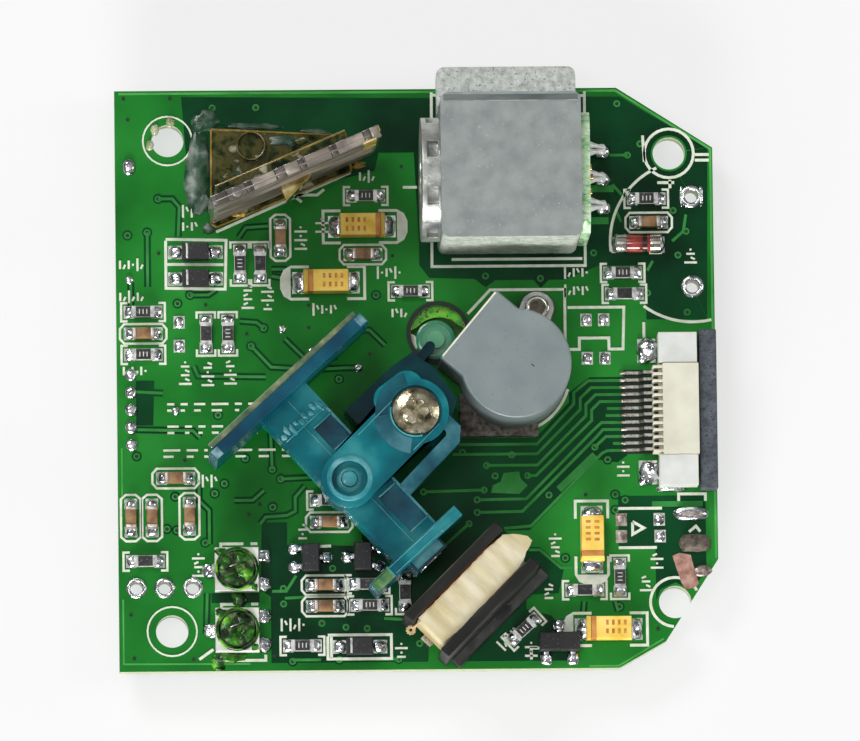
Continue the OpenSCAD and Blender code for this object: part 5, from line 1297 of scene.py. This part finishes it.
# The wrap of tape: a closed band whose surface ripples, and its loose pointed end.
tape = Form().at(*COIL, COIL_TURN)
draw = random.Random(11)
along = 15
band_half, band_low, band_top, corner = 4.15, 0.2, 6.15, 1.2
ring_points = [(*signs, *p) for k, signs in enumerate(((-1, -1), (1, -1), (1, 1), (-1, 1)))
    for p in arc(1, 90 * k - 180, 90 * k - 90, 4)]
rings = []
for i in range(along):
    x = 0.98 + (3.55 - 0.98) * i / (along - 1)
    ring = []
    for sx, sz, c, s in ring_points:
        y = sx * (band_half - corner) + corner * c
        z = (band_top + band_low) / 2 + sz * ((band_top - band_low) / 2 - corner) + corner * s
        ripple = draw.uniform(-0.05, 0.0) if z > 5 else 0
        ring.append((x, y, z + ripple))
    rings.append(ring)
tape.loft(rings, TAPE)
inner_edge = [(-4.2, 0.98), (3, 0.98), (3.6, 1.03), (4.4, 1.1), (4.9, 1.6), (5.5, 2.45)]
outer_edge = [(-4.2, 3.4), (-3, 3.56), (3, 3.5), (4, 3.42), (4.5, 3.15), (5.5, 2.8)]


def edge_at(y, knots):
    """A straight-lined edge's distance at y."""
    for (y0, x0), (y1, x1) in zip(knots, knots[1:]):
        if y <= y1:
            return x0 + (x1 - x0) * (y - y0) / (y1 - y0)
    return knots[-1][1]


rows = 34
sheet_rings = []
for i in range(rows):
    y = -4.1 + 9.55 * i / (rows - 1)
    x0 = edge_at(y, inner_edge) + draw.uniform(-0.05, 0.03)
    x1 = edge_at(y, outer_edge) + draw.uniform(-0.04, 0.03)
    z = 6.19 + 0.035 * math.sin(5 * y) * (1 if y < 3 else 0.6)
    wave = [draw.uniform(-0.025, 0.025) for _ in range(5)]
    xs = [x0 + (x1 - x0) * k / 4 for k in range(5)]
    upper = [(xs[k], y, z + 0.05 + wave[k]) for k in range(5)]
    lower = [(xs[k], y, z - 0.02 + wave[k]) for k in range(5)][::-1]
    sheet_rings.append(upper + lower)
tape.loft(sheet_rings, TAPE)
tape.make("coil_tape_shown", slot="cream_tape", replaces=("coil_tape",), sharp=70)
curl = Form().at(*COIL, COIL_TURN)
loop = circle(0.24, 10, 1.1, -4.95)
for a, b in zip(loop, loop[1:] + loop[:1]):
    curl.rod((*a, 5), (*b, 5), 0.13, TAN, 8)
curl.rod((1.12, -4.75, 5), (1.2, -4.0, 5.9), 0.09, TAN, 8)
curl.make("coil_wire_end", slot="cream_tape", sharp=70)

# --------------------------------------------------------------- underside parts

dress(RESIN, "microcontroller", "amplifier_chips")
dress(TIN, "microcontroller_leads", "amplifier_leads", "underside_passives")
dress(STEEL, "crystal")
dress(SOLDER, "underside_solder_joints")


# ---------------------------------------------------------- camera, floor, lights

scene = bpy.context.scene
scene.view_settings.view_transform = "Standard"

aim = TO_ROW @ Vector((0.97, 0.57, 0))
back = Vector((-0.035, -0.127, 1)).normalized()
up = Vector((math.sin(math.radians(0.7)), math.cos(math.radians(0.7)), 0))
right = up.cross(back).normalized()
up = back.cross(right)
camera = bpy.data.objects.new("camera", bpy.data.cameras.new("camera"))
camera.data.sensor_width = 36
camera.data.lens = 590
camera.matrix_world = Matrix.Translation(aim + back * 1.0) @ Matrix((right, up,
    back)).transposed().to_4x4()
scene.collection.objects.link(camera)
scene.camera = camera

floor_look = bpy.data.materials.new("paper")
add, link, nodes = node_tools(floor_look)
shader = nodes["Principled BSDF"]
for label, value in (("Roughness", 0.9), ("Specular IOR Level", 0.0), ("Emission Color", (1, 1, 1, 1)),
        ("Emission Strength", 0.66)):
    shader.inputs[label].default_value = value
grain = add("ShaderNodeTexNoise", Scale=40)
shade = add("ShaderNodeMapRange", To_Min=0.27, To_Max=0.29)
link(grain.outputs["Fac"], shade.inputs["Value"])
link(shade.outputs["Result"], shader.inputs["Base Color"])
bm = bmesh.new()
bmesh.ops.create_grid(bm, x_segments=1, y_segments=1, size=1.5)
mesh = bpy.data.meshes.new("floor")
bm.to_mesh(mesh)
bm.free()
mesh.materials.append(floor_look)
floor = bpy.data.objects.new("floor", mesh)
floor.location.z = cad_box[0].z - 0.0002
scene.collection.objects.link(floor)


def area(name, place, wide, tall, watts):
    """A soft light, aimed at the board."""
    lamp = bpy.data.lights.new(name, "AREA")
    lamp.shape = "RECTANGLE"
    lamp.size, lamp.size_y, lamp.energy = wide, tall, watts
    at = bpy.data.objects.new(name, lamp)
    at.location = CENTRE + Vector(place)
    at.rotation_euler = (CENTRE - at.location).to_track_quat("-Z", "Y").to_euler()
    scene.collection.objects.link(at)


area("key", (-0.3, 0.4, 0.5), 0.3, 0.18, 1.9)
area("front", (-0.12, -0.6, 0.2), 0.4, 0.2, 4.6)
area("side", (0.55, 0.05, 0.35), 0.18, 0.4, 0.8)
area("above", (-0.2, -0.05, 0.7), 0.16, 0.16, 0.6)

world = bpy.data.worlds.new("studio")
scene.world = world
add, link, nodes = node_tools(world)
split = add("ShaderNodeSeparateXYZ")
ramp = add("ShaderNodeValToRGB")
stops = ramp.color_ramp.elements
for at, level in ((0.0, 0.2), (0.3, 0.06), (0.6, 0.2), (0.8, 0.36), (0.93, 0.1), (1.0, 0.06)):
    stop = stops[0] if at == 0 else stops[1] if at == 1 else stops.new(at)
    stop.color = (level, level, level * 1.02, 1)
link(add("ShaderNodeTexCoord").outputs["Generated"], split.inputs["Vector"])
link(split.outputs["Z"], ramp.inputs["Fac"])
link(ramp.outputs["Color"], nodes["Background"].inputs["Color"])
nodes["Background"].inputs["Strength"].default_value = 1.0
